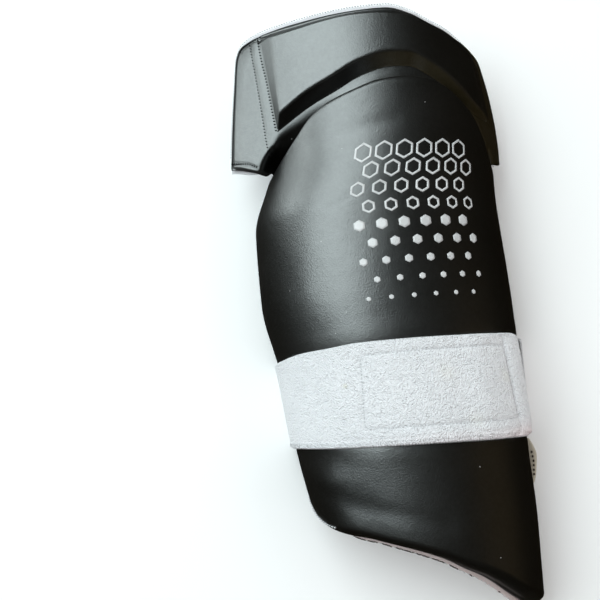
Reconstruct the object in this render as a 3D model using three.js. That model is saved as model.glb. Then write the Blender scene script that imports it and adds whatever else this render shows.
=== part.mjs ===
// Thigh pad with a hip guard, lying with its hollow side down and its strap
// fastened round it. Millimetres. +X runs across the thigh, +Y along the thigh
// towards the hip, +Z up from the surface that the pad lies on.
import * as THREE from 'three';

// ---------------------------------------------------------------- sizes
const PAD_THICKNESS = 16;    // moulded foam of the main pad, skin included
const PAD_RIM = 3;           // what is left of it at the edge
const TOP_ROLL = 7;          // width of the rounded edge at the hip end
const FOOT_ROLL = 7;         // ... at the knee end
const SIDE_ROLL = 16;        // ... along the two sides
const SIDE_ANGLE = 109;      // degrees from the crown to the side edges
const SILL = 0.2056;         // height of the widest point, share of the crown
const STRAP_LIFT = 3.5;      // the side edges ride up on the strap by this

const GAP = 0.3;             // between pieces that touch
const LINING = 1.5;          // thickness of the cloth lining
const LINING_PROUD = 2;      // lining that shows past the flap's skin
const FOOT_PROUD = { left: 1.2, right: 3.2 };   // ... and past the pad's knee end
const LINING_SLACK = 1.9;    // the flap's lining hangs clear of its dip by this
const SEAM_GAP = 0.7;        // between the pad and the flap's lapped edge
const LAP = 12;              // hip flange sewn behind the pad's upper edge
const SEAM_ENDS = { left: -84, right: 78 };     // the seam, degrees from the crown
const MM_PER_DEGREE = 1.37;  // along the pad's section

const FLANGE = 3.5;          // thickness of the flap that carries the block
const HIP_CROWN = { x: 15, z: 79.5 };
const BLOCK_RIM = 0.8;       // thickness of the raised block at its foot
const BLOCK_BEVEL = { left: 8.8, right: 9.5, upper: 3.2 };

const STRAP_THICKNESS = 2.6;
const STRAP_TURN = 9;        // radius where it turns under the pad
const PATCH_THICKNESS = 1.8; // fastener patch below the strap's free end
const PATCH_ANGLES = { from: 36, to: 78 };
const STRAP_END = { lower: 70, upper: 61 };   // degrees, at its two corners
const STRAP_START = 84;      // degrees, on the outer side

const TAB = { width: 35, y: -127.5, inner: 58, outer: 106.5, layer: 1.3, curl: 3.2 };

// Cross-sections of the main pad, a row for each station along the thigh.
const PAD_SECTIONS = [
  { y: -215, half: 71.1, centre: 26.2, crown: 86.2 },
  { y: -160, half: 78.6, centre: 20.0, crown: 88.1 },
  { y: -105, half: 83.5, centre: 14.1, crown: 90.0 },
  { y: -50, half: 87.0, centre: 11.6, crown: 92.0 },
  { y: 5, half: 92.1, centre: 6.3, crown: 94.5 },
  { y: 60, half: 91.0, centre: 5.4, crown: 97.0 },
  { y: 110, half: 83.6, centre: 13.4, crown: 97.6 },
  { y: 150, half: 83.1, centre: 13.3, crown: 98.0 },
];

// Upper and lower edge of the main pad, by angle from the crown.
const PAD_EDGES = [
  { angle: -109, upper: 91, lower: -133 },
  { angle: -98, upper: 96, lower: -141 },
  { angle: -87, upper: 99, lower: -147.5 },
  { angle: -75, upper: 102.7, lower: -155.5 },
  { angle: -62, upper: 111.2, lower: -160.5 },
  { angle: -50, upper: 121, lower: -163 },
  { angle: -40, upper: 131.3, lower: -164.5 },
  { angle: -30, upper: 138, lower: -167.5 },
  { angle: -15, upper: 144, lower: -173 },
  { angle: 0, upper: 149, lower: -180 },
  { angle: 12, upper: 150, lower: -188 },
  { angle: 23, upper: 148.8, lower: -194.5 },
  { angle: 33, upper: 144.4, lower: -201.5 },
  { angle: 43, upper: 136, lower: -208.5 },
  { angle: 52, upper: 126.5, lower: -213.5 },
  { angle: 60, upper: 114, lower: -217 },
  { angle: 70, upper: 97, lower: -221.5 },
  { angle: 80, upper: 91, lower: -225 },
  { angle: 95, upper: 87, lower: -227 },
  { angle: 109, upper: 80, lower: -224 },
];

// Section of the hip flap: tangent arcs either side of its crown.
const HIP_ARCS = {
  left: [{ radius: 110, turn: 17 }, { radius: 458, turn: 11 }],
  right: [{ radius: 98.5, turn: 66 }],
};

// Dip between the seam and the flap, by angle on the seam: where the flap
// starts to rise from it, and where it has risen, in distance from the seam.
const VALLEY = [
  { angle: -84, start: 8, width: 30 },
  { angle: -72, start: 6, width: 29 },
  { angle: -60, start: 4, width: 26 },
  { angle: -45, start: 1, width: 20 },
  { angle: -30, start: 0, width: 14 },
  { angle: -10, start: 0, width: 11 },
  { angle: 10, start: 0, width: 10 },
  { angle: 30, start: 0, width: 13 },
  { angle: 45, start: 1, width: 18 },
  { angle: 60, start: 4, width: 22 },
  { angle: 70, start: 7, width: 25 },
  { angle: 78, start: 9, width: 28 },
];

// Outer border of the hip flap. Each row is a ruling: the angle at which it
// leaves the seam, then where it meets the border (distance round the section
// from the crown, and station along the thigh).
const FLAP_BORDER = [
  { angle: -84, round: -123.2, y: 108.2 },
  { angle: -79, round: -119, y: 138 },
  { angle: -73, round: -114, y: 168 },
  { angle: -66, round: -109.3, y: 192.5 },
  { angle: -59, round: -102.6, y: 201.2 },
  { angle: -50, round: -86, y: 205.8 },
  { angle: -38, round: -62, y: 207.8 },
  { angle: -18, round: -29, y: 208.6 },
  { angle: 0, round: 8, y: 208.5 },
  { angle: 12, round: 28, y: 203.4 },
  { angle: 20, round: 41, y: 197.4 },
  { angle: 28, round: 56, y: 192 },
  { angle: 36, round: 68, y: 186.2 },
  { angle: 46, round: 81, y: 179.8 },
  { angle: 54, round: 90.4, y: 174.2 },
  { angle: 61, round: 96.8, y: 163.4 },
  { angle: 67, round: 105, y: 146 },
  { angle: 73, round: 112.2, y: 122 },
  { angle: 78, round: 114, y: 97 },
];

// Foot of the raised block on the flap: lower and upper line by distance round.
const BLOCK_LOWER = [
  { share: 0, round: -80, y: 127.7 },
  { share: 0.06, round: -72.5, y: 131.6 },
  { share: 0.19, round: -52, y: 141.8 },
  { share: 0.31, round: -32, y: 149.2 },
  { share: 0.42, round: -13, y: 157.1 },
  { share: 0.54, round: 8, y: 161.4 },
  { share: 0.61, round: 20, y: 160.8 },
  { share: 0.7, round: 34, y: 154.7 },
  { share: 0.78, round: 46.5, y: 147.3 },
  { share: 0.86, round: 60, y: 138.2 },
  { share: 0.93, round: 75, y: 128.6 },
  { share: 1, round: 95, y: 124.8 },
];
const BLOCK_UPPER = [
  { share: 0, round: -87.5, y: 199.2 },
  { share: 0.06, round: -78, y: 199.6 },
  { share: 0.19, round: -58, y: 200 },
  { share: 0.31, round: -38, y: 201.2 },
  { share: 0.42, round: -17, y: 201.8 },
  { share: 0.54, round: 6, y: 200.8 },
  { share: 0.61, round: 19, y: 198.8 },
  { share: 0.7, round: 33, y: 194 },
  { share: 0.78, round: 46, y: 188.2 },
  { share: 0.86, round: 59, y: 182.6 },
  { share: 0.93, round: 71, y: 176.4 },
  { share: 1, round: 84, y: 169.5 },
];
// Height of the block and width of its lower bevel.
const BLOCK_TOP = [
  { share: 0, height: 7, bevel: 8.8 },
  { share: 0.2, height: 8.5, bevel: 8.8 },
  { share: 0.45, height: 9.5, bevel: 8.6 },
  { share: 0.6, height: 9, bevel: 8 },
  { share: 0.75, height: 7.3, bevel: 6.8 },
  { share: 0.86, height: 5.8, bevel: 5.4 },
  { share: 1, height: 3.4, bevel: 3.2 },
];

// Upper and lower edge of the strap by angle round the pad.
const STRAP_EDGES = [
  { angle: -90, upper: -40, lower: -99 },
  { angle: -70, upper: -38.4, lower: -99.4 },
  { angle: -50, upper: -35.8, lower: -100.4 },
  { angle: -35, upper: -35, lower: -101.2 },
  { angle: -20, upper: -33.6, lower: -101.8 },
  { angle: 0, upper: -33.8, lower: -102.6 },
  { angle: 20, upper: -34.4, lower: -103.6 },
  { angle: 40, upper: -34.8, lower: -104.4 },
  { angle: 72, upper: -35.2, lower: -104.8 },
  { angle: 90, upper: -38, lower: -103 },
];

// ---------------------------------------------------------------- helpers
const rad = (d) => (d * Math.PI) / 180;
const lerp = (a, b, t) => a + (b - a) * t;
const clamp = (v, lo, hi) => Math.min(hi, Math.max(lo, v));
const smooth = (lo, hi, v) => {
  const t = clamp((v - lo) / (hi - lo), 0, 1);
  return t * t * (3 - 2 * t);
};
const range = (n, f) => Array.from({ length: n }, (_, i) => f(i));

// Shape-preserving cubic through one named column of a table.
function column(rows, key, value) {
  const x = rows.map((r) => r[key]);
  const y = rows.map((r) => r[value]);
  const n = x.length;
  const h = range(n - 1, (i) => x[i + 1] - x[i]);
  const s = range(n - 1, (i) => (y[i + 1] - y[i]) / h[i]);
  const m = range(n, (i) => {
    if (i === 0) return s[0];
    if (i === n - 1) return s[n - 2];
    if (s[i - 1] * s[i] <= 0) return 0;
    const a = 2 * h[i] + h[i - 1];
    const b = h[i] + 2 * h[i - 1];
    return (a + b) / (a / s[i - 1] + b / s[i]);
  });
  return (v) => {
    if (v <= x[0]) return y[0] + m[0] * (v - x[0]);
    if (v >= x[n - 1]) return y[n - 1] + m[n - 1] * (v - x[n - 1]);
    let i = 0;
    while (v > x[i + 1]) i += 1;
    const t = (v - x[i]) / h[i];
    const t2 = t * t;
    const t3 = t2 * t;
    return (2 * t3 - 3 * t2 + 1) * y[i] + (t3 - 2 * t2 + t) * h[i] * m[i]
      + (3 * t2 - 2 * t3) * y[i + 1] + (t3 - t2) * h[i] * m[i + 1];
  };
}

// A closed wall between two grids of points with the same rows and columns.
function wall(front, back) {
  const rows = front.length;
  const cols = front[0].length;
  const points = [...front.flat(), ...back.flat()];
  const at = (side, r, c) => side * rows * cols + r * cols + c;
  const index = [];
  const quad = (a, b, c, d) => index.push(a, b, c, a, c, d);
  for (let r = 0; r < rows - 1; r += 1) {
    for (let c = 0; c < cols - 1; c += 1) {
      quad(at(0, r, c), at(0, r, c + 1), at(0, r + 1, c + 1), at(0, r + 1, c));
      quad(at(1, r, c), at(1, r + 1, c), at(1, r + 1, c + 1), at(1, r, c + 1));
    }
  }
  const rim = [
    ...range(cols - 1, (c) => [0, c]),
    ...range(rows - 1, (r) => [r, cols - 1]),
    ...range(cols - 1, (c) => [rows - 1, cols - 1 - c]),
    ...range(rows - 1, (r) => [rows - 1 - r, 0]),
  ];
  rim.forEach(([r, c], i) => {
    const [r2, c2] = rim[(i + 1) % rim.length];
    quad(at(0, r, c), at(1, r, c), at(1, r2, c2), at(0, r2, c2));
  });
  // faces point outwards when the enclosed volume is positive
  let volume = 0;
  for (let i = 0; i < index.length; i += 3) {
    const [a, b, c] = [points[index[i]], points[index[i + 1]], points[index[i + 2]]];
    volume += a.dot(new THREE.Vector3().crossVectors(b, c));
  }
  if (volume < 0) {
    for (let i = 0; i < index.length; i += 3) {
      [index[i], index[i + 1]] = [index[i + 1], index[i]];
    }
  }
  const geometry = new THREE.BufferGeometry();
  geometry.setAttribute('position',
    new THREE.Float32BufferAttribute(points.flatMap((p) => [p.x, p.y, p.z]), 3));
  geometry.setIndex(index);
  geometry.computeVertexNormals();
  return geometry;
}

// ---------------------------------------------------------------- main pad
const half = column(PAD_SECTIONS, 'y', 'half');
const centre = column(PAD_SECTIONS, 'y', 'centre');
const crown = column(PAD_SECTIONS, 'y', 'crown');
const upperEdge = column(PAD_EDGES, 'angle', 'upper');
const lowerEdge = column(PAD_EDGES, 'angle', 'lower');

// The pad bows up gently where it lies on the strap and the tab.
const lift = (y) => STRAP_LIFT * smooth(-222, -150, y) * (1 - smooth(-34, 66, y));

// Point of the pad's section, `depth` below its outer surface.
function padPoint(angle, y, depth) {
  const [sin, cos] = [Math.sin(rad(angle)), Math.cos(rad(angle))];
  const a = half(y);
  const sill = SILL * crown(y);
  const b = crown(y) - sill;
  const len = Math.hypot(sin * b, cos * a);
  return new THREE.Vector3(
    centre(y) + a * sin - (depth * sin * b) / len,
    y,
    Math.max(0, sill + b * cos - (depth * cos * a) / len + lift(y)),
  );
}
const padNormal = (angle, y) => padPoint(angle, y, 0).sub(padPoint(angle, y, 1)).normalize();

// Thickness of the pad, rounded off towards each edge.
const roll = (d, width) => Math.sqrt(1 - (1 - clamp(d / width, 0, 1)) ** 2);
function padThickness(angle, y) {
  const slope = (edge) => {
    const rise = (edge(angle + 1) - edge(angle - 1)) / (2 * MM_PER_DEGREE);
    return 1 / Math.hypot(1, rise);
  };
  const upper = roll((upperEdge(angle) - y) * slope(upperEdge), TOP_ROLL);
  const lower = roll((y - lowerEdge(angle)) * slope(lowerEdge), FOOT_ROLL);
  const s = clamp(((SIDE_ANGLE - Math.abs(angle)) * MM_PER_DEGREE) / SIDE_ROLL, 0, 1);
  return PAD_RIM + (PAD_THICKNESS - PAD_RIM) * upper * lower * (1 - (1 - s) ** 2);
}
const padFront = (angle, y, out) => padPoint(angle, y, PAD_THICKNESS - padThickness(angle, y) - out);

const COLUMN_STEP = 6;
const SIDE_COLUMNS = [96, 101, 105, 107.5, SIDE_ANGLE];
const PAD_COLUMNS = [
  ...SIDE_COLUMNS.map((a) => -a).reverse(),
  ...range(31, (i) => -90 + COLUMN_STEP * i),
  ...SIDE_COLUMNS,
];
const LINING_TOP = LAP + 1.5;             // the lining stops below the lap
const FROM_UPPER = [0, 1, 3, 6, LINING_TOP + 2];   // rows near the upper edge
const FROM_LOWER = [0, 1.2, 4, 8, 14];             // rows near the lower edge
const BETWEEN = 8;
function padStations(angle) {
  const lo = lowerEdge(angle);
  const hi = upperEdge(angle);
  const first = lo + FROM_LOWER.at(-1);
  const last = hi - FROM_UPPER.at(-1);
  return [
    ...FROM_LOWER.map((d) => lo + d),
    ...range(BETWEEN, (i) => lerp(first, last, (i + 1) / (BETWEEN + 1))),
    ...FROM_UPPER.map((d) => hi - d).reverse(),
  ];
}
const mainPad = wall(
  PAD_COLUMNS.map((a) => padStations(a).map((y) => padFront(a, y, 0))),
  PAD_COLUMNS.map((a) => padStations(a).map((y) => padPoint(a, y, PAD_THICKNESS))),
);

// Lining on the hollow side. It stops below the hip flange's lap, and beside
// the flap it runs up to the pad's edge.
function padLiningGrid(depth) {
  return PAD_COLUMNS.map((a) => {
    const beside = smooth(SEAM_ENDS.right, SEAM_ENDS.right + 16, a) + smooth(-SEAM_ENDS.left, 16 - SEAM_ENDS.left, -a);
    const hi = upperEdge(a) - lerp(LINING_TOP, 0.5, beside);
    const proud = lerp(FOOT_PROUD.left, FOOT_PROUD.right, smooth(-20, 70, a));
    const lo = lowerEdge(a) - proud * (1 - smooth(88, 100, Math.abs(a)));
    const stations = padStations(a);
    const inner = stations.slice(FROM_LOWER.length - 1, FROM_LOWER.length + BETWEEN + 1);
    const near = upperEdge(a) - lerp(LINING_TOP + 1, 6, beside);
    return [lo, ...inner, near, hi].map((y) => padPoint(a, y, depth));
  });
}
const padLining = wall(
  padLiningGrid(PAD_THICKNESS + GAP),
  padLiningGrid(PAD_THICKNESS + GAP + LINING),
);

// ---------------------------------------------------------------- hip flap
// Section of the flap: place and tilt at a distance round it from the crown.
function hipSection(round) {
  const side = round < 0 ? -1 : 1;
  let [x, z, tilt, left] = [0, 0, 0, Math.abs(round)];
  for (const arc of round < 0 ? HIP_ARCS.left : HIP_ARCS.right) {
    const run = Math.min(left, arc.radius * rad(arc.turn));
    const next = tilt + run / arc.radius;
    x += arc.radius * (Math.sin(next) - Math.sin(tilt));
    z -= arc.radius * (Math.cos(tilt) - Math.cos(next));
    tilt = next;
    left -= run;
  }
  x += left * Math.cos(tilt);
  z -= left * Math.sin(tilt);
  return { x: HIP_CROWN.x + side * x, z: HIP_CROWN.z + z };
}
function roundAt(x) {
  let [lo, hi] = [-160, 160];
  for (let i = 0; i < 50; i += 1) {
    const mid = (lo + hi) / 2;
    if (hipSection(mid).x < x) lo = mid; else hi = mid;
  }
  return (lo + hi) / 2;
}

// Back of the pad at or just inside its upper edge, between its own columns.
function lapPoint(angle, inside, depth) {
  const a = Math.floor(angle / COLUMN_STEP + 1e-6) * COLUMN_STEP;
  const t = (angle - a) / COLUMN_STEP;
  const p = padPoint(a, upperEdge(a) - inside, depth);
  return t < 1e-6 ? p
    : p.lerp(padPoint(a + COLUMN_STEP, upperEdge(a + COLUMN_STEP) - inside, depth), t);
}

const RULING_STEP = 4.5;
const RULINGS = range((SEAM_ENDS.right - SEAM_ENDS.left) / RULING_STEP + 1, (i) => SEAM_ENDS.left + RULING_STEP * i);
const valleyStart = column(VALLEY, 'angle', 'start');
const valleyWidth = column(VALLEY, 'angle', 'width');
const SEAM = RULINGS.map((angle) => {
  const p = lapPoint(angle, 0, PAD_THICKNESS + SEAM_GAP);
  const round = roundAt(p.x);
  return { angle, p, round, y: p.y, drop: p.z - hipSection(round).z, start: valleyStart(angle), width: valleyWidth(angle) };
});

// Nearest point of the seam, in the flap's own round-and-along plane.
function toSeam(round, y) {
  let best = { d: Infinity };
  for (let i = 0; i < SEAM.length - 1; i += 1) {
    const [p, q] = [SEAM[i], SEAM[i + 1]];
    const [dx, dy] = [q.round - p.round, q.y - p.y];
    const t = clamp(((round - p.round) * dx + (y - p.y) * dy) / (dx * dx + dy * dy), 0, 1);
    const d = Math.hypot(round - p.round - t * dx, y - p.y - t * dy);
    if (d < best.d) best = { d, ...Object.fromEntries(['drop', 'start', 'width'].map((k) => [k, lerp(p[k], q[k], t)])) };
  }
  return best;
}
function flapSurface(round, y) {
  const { x, z } = hipSection(round);
  const { d, drop, start, width } = toSeam(round, y);
  return new THREE.Vector3(x, y, z + drop * (1 - clamp((d - start) / (width - start), 0, 1)) ** 2);
}
function flapNormal(round, y) {
  const e = 2;
  const u = flapSurface(round + e, y).sub(flapSurface(round - e, y));
  const v = flapSurface(round, y + e).sub(flapSurface(round, y - e));
  return u.cross(v).normalize();
}
const flapPoint = (round, y, out) => flapSurface(round, y).addScaledVector(flapNormal(round, y), out);

const borderRound = column(FLAP_BORDER, 'angle', 'round');
const borderY = column(FLAP_BORDER, 'angle', 'y');
const LAP_ROWS = [LAP];
const FLAP_ROWS = [0.06, 0.14, 0.24, 0.36, 0.5, 0.66, 0.83, 1];

// Station at which a point of the flap clears the pad's slanted side edge.
const EDGE_CLEAR = 1;
function overEdge(round, y) {
  let at = y;
  for (let i = 0; i < 6; i += 1) {
    const p = flapSurface(round, at);
    const sill = SILL * crown(at);
    const [sx, sz] = [(p.x - centre(at)) / half(at), (p.z - sill - lift(at)) / (crown(at) - sill)];
    const need = upperEdge((Math.atan2(sx, sz) * 180) / Math.PI) + EDGE_CLEAR;
    at = y + Math.max(0, need - y) * (1 - smooth(0.97, 1.04, Math.hypot(sx, sz)));
  }
  return at;
}

// One ruling of the flap, from its lapped edge out to the border.
function ruling(seam, out, proud, slack) {
  const { angle, round, y } = seam;
  const [dr, dy] = [borderRound(angle) - round, borderY(angle) - y];
  const reach = 1 - (LINING_PROUD - proud) / Math.hypot(dr, dy);
  const padSide = padNormal(angle, y);
  // the free hem of the left wing bows down a little
  const bow = (t) => dy * (t - smooth(0.35, 1.05, t)) * smooth(SEAM_ENDS.left + 8, SEAM_ENDS.left, angle);
  const mean = flapNormal(round + 0.02 * dr, y + 0.02 * dy).add(padSide).normalize();
  return [
    ...LAP_ROWS.map((d) => lapPoint(angle, d, PAD_THICKNESS + SEAM_GAP - out)),
    seam.p.clone().addScaledVector(mean, out),
    ...FLAP_ROWS.map((t) => {
      const r = round + t * reach * dr;
      const at = overEdge(r, y + t * reach * dy - bow(t));
      const { d, width } = toSeam(r, at);
      return flapPoint(r, at, out - slack * smooth(0, 0.3 * width, d) * (1 - smooth(1.1 * width, 2.2 * width, d)));
    }),
  ];
}
const hipFlange = wall(
  SEAM.map((s) => ruling(s, 0, 0, 0)),
  SEAM.map((s) => ruling(s, -FLANGE, 0, 0)),
);
const hipLining = wall(
  SEAM.map((s) => ruling(s, -FLANGE - 1.4 * GAP, LINING_PROUD, LINING_SLACK)),
  SEAM.map((s) => ruling(s, -FLANGE - 1.4 * GAP - LINING, LINING_PROUD, LINING_SLACK)),
);

// Raised block: bevelled all round, following the flap's curve.
const footLower = { round: column(BLOCK_LOWER, 'share', 'round'), y: column(BLOCK_LOWER, 'share', 'y') };
const footUpper = { round: column(BLOCK_UPPER, 'share', 'round'), y: column(BLOCK_UPPER, 'share', 'y') };
const blockHeight = column(BLOCK_TOP, 'share', 'height');
const lowerBevel = column(BLOCK_TOP, 'share', 'bevel');
const BLOCK_SPAN = 172;
const BLOCK_COLUMNS = [
  0, BLOCK_BEVEL.left / BLOCK_SPAN,
  ...range(20, (i) => lerp(BLOCK_BEVEL.left / BLOCK_SPAN, 1 - BLOCK_BEVEL.right / BLOCK_SPAN, (i + 1) / 21)),
  1 - BLOCK_BEVEL.right / BLOCK_SPAN, 1,
];
const BLOCK_INSIDE = 4;
function blockGrid(raised) {
  return BLOCK_COLUMNS.map((share) => {
    const [r0, y0] = [footLower.round(share), footLower.y(share)];
    const [r1, y1] = [footUpper.round(share), footUpper.y(share)];
    const length = Math.hypot(r1 - r0, y1 - y0);
    const lower = lowerBevel(share) / length;
    const upper = 1 - BLOCK_BEVEL.upper / length;
    const rows = [0, lower, ...range(BLOCK_INSIDE, (i) => lerp(lower, upper, (i + 1) / (BLOCK_INSIDE + 1))), upper, 1];
    const across = Math.min(1, share * BLOCK_SPAN / BLOCK_BEVEL.left, (1 - share) * BLOCK_SPAN / BLOCK_BEVEL.right);
    return rows.map((t) => {
      const along = Math.min(1, t / lower, (1 - t) / (1 - upper));
      const height = lerp(BLOCK_RIM, blockHeight(share), Math.min(across, along));
      return flapPoint(lerp(r0, r1, t), lerp(y0, y1, t), 2.4 * GAP + (raised ? height : 0));
    });
  });
}
const hipBlock = wall(blockGrid(true), blockGrid(false));

// ---------------------------------------------------------------- strap
const strapUpper = column(STRAP_EDGES, 'angle', 'upper');
const strapLower = column(STRAP_EDGES, 'angle', 'lower');
const STRAP_ROWS = [0, 0.25, 0.5, 0.75, 1];
const STRAP_GAP = 0.4;
const overPatch = (angle) => STRAP_GAP
  + (PATCH_THICKNESS + GAP) * smooth(PATCH_ANGLES.from - 16, PATCH_ANGLES.from - 2, angle);

// Middle of the strap's thickness and its outward direction, at each station
// from the fastened end over the front, under the pad and up to the sewn start.
function strapRun(share) {
  const run = [];
  const yAt = (angle) => lerp(strapLower(angle), strapUpper(angle), share);
  const onPad = (angle, gap) => {
    const y = yAt(angle);
    run.push({ p: padFront(angle, y, gap + STRAP_THICKNESS / 2), n: padNormal(angle, y) });
  };
  const end = lerp(STRAP_END.lower, STRAP_END.upper, share);
  [0, 0.5, 1].forEach((t) => onPad(lerp(end, 54, t), overPatch(lerp(end, 54, t))));
  for (let a = 48; a >= -90; a -= COLUMN_STEP) onPad(a, overPatch(a));
  const turn = (side) => {
    const y = yAt(90 * side);
    const inner = padFront(90 * side, y, STRAP_GAP).x;
    const middle = inner - side * STRAP_TURN;
    return (deg) => {
      const n = new THREE.Vector3(side * Math.cos(rad(deg)), 0, -Math.sin(rad(deg)));
      const p = new THREE.Vector3(middle, y, STRAP_TURN + STRAP_THICKNESS)
        .addScaledVector(n, STRAP_TURN + STRAP_THICKNESS / 2);
      return { p, n };
    };
  };
  const [left, right] = [turn(-1), turn(1)];
  const steps = [0, 18, 36, 54, 72, 90];
  steps.forEach((deg) => run.push(left(deg)));
  [...steps].reverse().forEach((deg) => run.push(right(deg)));
  [90, STRAP_START].forEach((a) => onPad(a, STRAP_GAP));
  return run;
}
const strapRuns = STRAP_ROWS.map(strapRun);
const strapSide = (side) => strapRuns.map((run) => run.map(({ p, n }) => {
  const q = p.clone().addScaledVector(n, (side * STRAP_THICKNESS) / 2);
  q.z = Math.max(0, q.z);
  return q;
}));
const strap = wall(strapSide(1), strapSide(-1));

// Fastener patch on the pad, below the strap's free end.
const PATCH_INSET = 3;
const patchGrid = (out) => range(8, (i) => lerp(PATCH_ANGLES.from, PATCH_ANGLES.to, i / 7)).map((a) => (
  range(4, (j) => padFront(a, lerp(strapLower(a) + PATCH_INSET, strapUpper(a) - PATCH_INSET, j / 3), out))));
const fastenerPatch = wall(patchGrid(GAP + PATCH_THICKNESS), patchGrid(GAP));

// Folded webbing tab sewn under the outer side edge.
function tabGrid(top) {
  const n = 9;
  return range(n, (i) => {
    const t = i / (n - 1);
    const x = lerp(TAB.inner, TAB.outer, t);
    const rise = TAB.curl * smooth(0.72, 1, t);
    const nose = i === n - 1 ? 0.6 : 0;
    const z = top ? 2 * TAB.layer + rise - nose : rise + nose;
    return range(3, (j) => new THREE.Vector3(x, TAB.y + (j / 2 - 0.5) * TAB.width, z));
  });
}
const webbingTab = wall(tabGrid(true), tabGrid(false));

// ---------------------------------------------------------------- assembly
const skin = { color: 0x17181a, roughness: 0.5, metalness: 0 };
const PIECES = [
  { name: 'main_pad', geometry: mainPad, look: skin },
  { name: 'pad_lining', geometry: padLining, look: { color: 0xe9e6e2, roughness: 0.9, metalness: 0 } },
  { name: 'hip_flange', geometry: hipFlange, look: skin },
  { name: 'hip_block', geometry: hipBlock, look: skin },
  { name: 'hip_lining', geometry: hipLining, look: { color: 0xe9e6e2, roughness: 0.9, metalness: 0 } },
  { name: 'strap', geometry: strap, look: { color: 0xf1f2f4, roughness: 0.95, metalness: 0 } },
  { name: 'fastener_patch', geometry: fastenerPatch, look: { color: 0x0c0c0d, roughness: 0.9, metalness: 0 } },
  { name: 'webbing_tab', geometry: webbingTab, look: { color: 0xe6dcc6, roughness: 0.85, metalness: 0 } },
];
const thighPad = new THREE.Group();
for (const { name, geometry, look } of PIECES) {
  const mesh = new THREE.Mesh(geometry, new THREE.MeshStandardMaterial(look));
  mesh.name = name;
  thighPad.add(mesh);
}
// the origin is on the surface, below the middle of the whole pad
const box = new THREE.Box3().setFromObject(thighPad);
thighPad.position.set(-(box.min.x + box.max.x) / 2, -(box.min.y + box.max.y) / 2, -box.min.z);
thighPad.updateMatrixWorld(true);

export default thighPad;
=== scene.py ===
import math

import bpy
import numpy as np
from mathutils import Matrix, Vector


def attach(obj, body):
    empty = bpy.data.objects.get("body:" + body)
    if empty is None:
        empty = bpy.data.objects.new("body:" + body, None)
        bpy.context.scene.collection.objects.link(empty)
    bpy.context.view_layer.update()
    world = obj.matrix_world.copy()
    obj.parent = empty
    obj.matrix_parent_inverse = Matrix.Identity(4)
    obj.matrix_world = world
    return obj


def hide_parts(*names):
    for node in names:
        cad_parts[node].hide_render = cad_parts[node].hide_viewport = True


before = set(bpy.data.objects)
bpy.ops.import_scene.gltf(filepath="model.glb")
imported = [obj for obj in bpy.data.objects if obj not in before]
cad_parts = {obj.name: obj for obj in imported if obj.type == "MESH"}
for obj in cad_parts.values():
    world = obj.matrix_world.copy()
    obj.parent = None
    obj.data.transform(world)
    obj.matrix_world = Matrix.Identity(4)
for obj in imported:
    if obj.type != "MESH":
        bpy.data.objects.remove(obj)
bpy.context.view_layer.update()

# Thigh pad with a hip guard. The shapes below are worked out in millimetres in
# the pad's own drawing frame, and ORIGIN moves them to the row frame.
# <shape>
ORIGIN = np.array([-3.8225250244140625, 10.533119201660156, 0.0])

PAD_THICKNESS = 16.0
PAD_RIM = 3.0
TOP_ROLL = 4.6
FOOT_ROLL = 7.0
SIDE_ROLL = 16.0
SIDE_ANGLE = 109.0
SILL = 0.2056
STRAP_LIFT = 3.5

GAP = 0.3
LINING = 1.5
LINING_PROUD = 2.0
FOOT_PROUD_LEFT, FOOT_PROUD_RIGHT = 3.3, 3.8
SEAM_GAP = 0.7
EDGE_CLEAR = 1.0
LAP = 12.0
SEAM_LEFT, SEAM_RIGHT = -84.0, 78.0
MM_PER_DEGREE = 1.37

FLANGE = 3.5
HIP_CROWN_X, HIP_CROWN_Z = 15.0, 79.5
BLOCK_SPAN = 172.0
BEVEL_LEFT, BEVEL_RIGHT, BEVEL_UPPER = 8.8, 9.5, 3.2

STRAP_THICKNESS = 2.6
STRAP_TURN = 9.0
STRAP_GAP = 0.4
STRAP_END_LOWER, STRAP_END_UPPER, STRAP_START = 70.0, 61.0, 84.0
PATCH_THICKNESS = 1.8
PATCH_FROM, PATCH_TO, PATCH_INSET = 36.0, 78.0, 3.0

TAB_WIDTH, TAB_Y, TAB_INNER, TAB_OUTER, TAB_LAYER, TAB_CURL = 35.0, -127.5, 58.0, 106.5, 1.3, 3.2

# station, half width, centre, crown height
PAD_SECTIONS = np.array([
    (-215, 71.1, 26.2, 86.2), (-160, 78.6, 20.0, 88.1), (-105, 83.5, 14.1, 90.0),
    (-50, 87.0, 11.6, 92.0), (5, 92.1, 6.3, 94.5), (60, 91.0, 5.4, 97.0),
    (110, 83.6, 13.4, 97.6), (150, 83.1, 13.3, 98.0)])
# angle from the crown, upper edge, lower edge
PAD_EDGES = np.array([
    (-109, 91, -133), (-98, 96, -141), (-87, 99, -147.5), (-75, 102.7, -155.5),
    (-62, 111.2, -160.5), (-50, 121, -163), (-40, 131.3, -164.5), (-30, 138, -167.5),
    (-15, 144, -173), (0, 149, -180), (12, 150, -188), (23, 148.8, -194.5),
    (33, 144.4, -201.5), (43, 136, -208.5), (52, 126.5, -213.5), (60, 114, -217),
    (70, 97, -221.5), (80, 91, -225), (95, 87, -227), (109, 80, -224)])
# radius and turn of the flap's arcs, either side of its crown
HIP_LEFT = ((110.0, 17.0), (458.0, 11.0))
HIP_RIGHT = ((98.5, 66.0),)
# angle on the seam, then where the flap starts to rise from the dip beside it, and has risen
VALLEY = np.array([
    (-84, 8, 30), (-72, 6, 29), (-60, 4, 26), (-45, 1, 20), (-30, 0, 14), (-10, 0, 11),
    (10, 0, 10), (30, 0, 13), (45, 1, 18), (60, 4, 22), (70, 7, 25), (78, 9, 28)])
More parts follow.
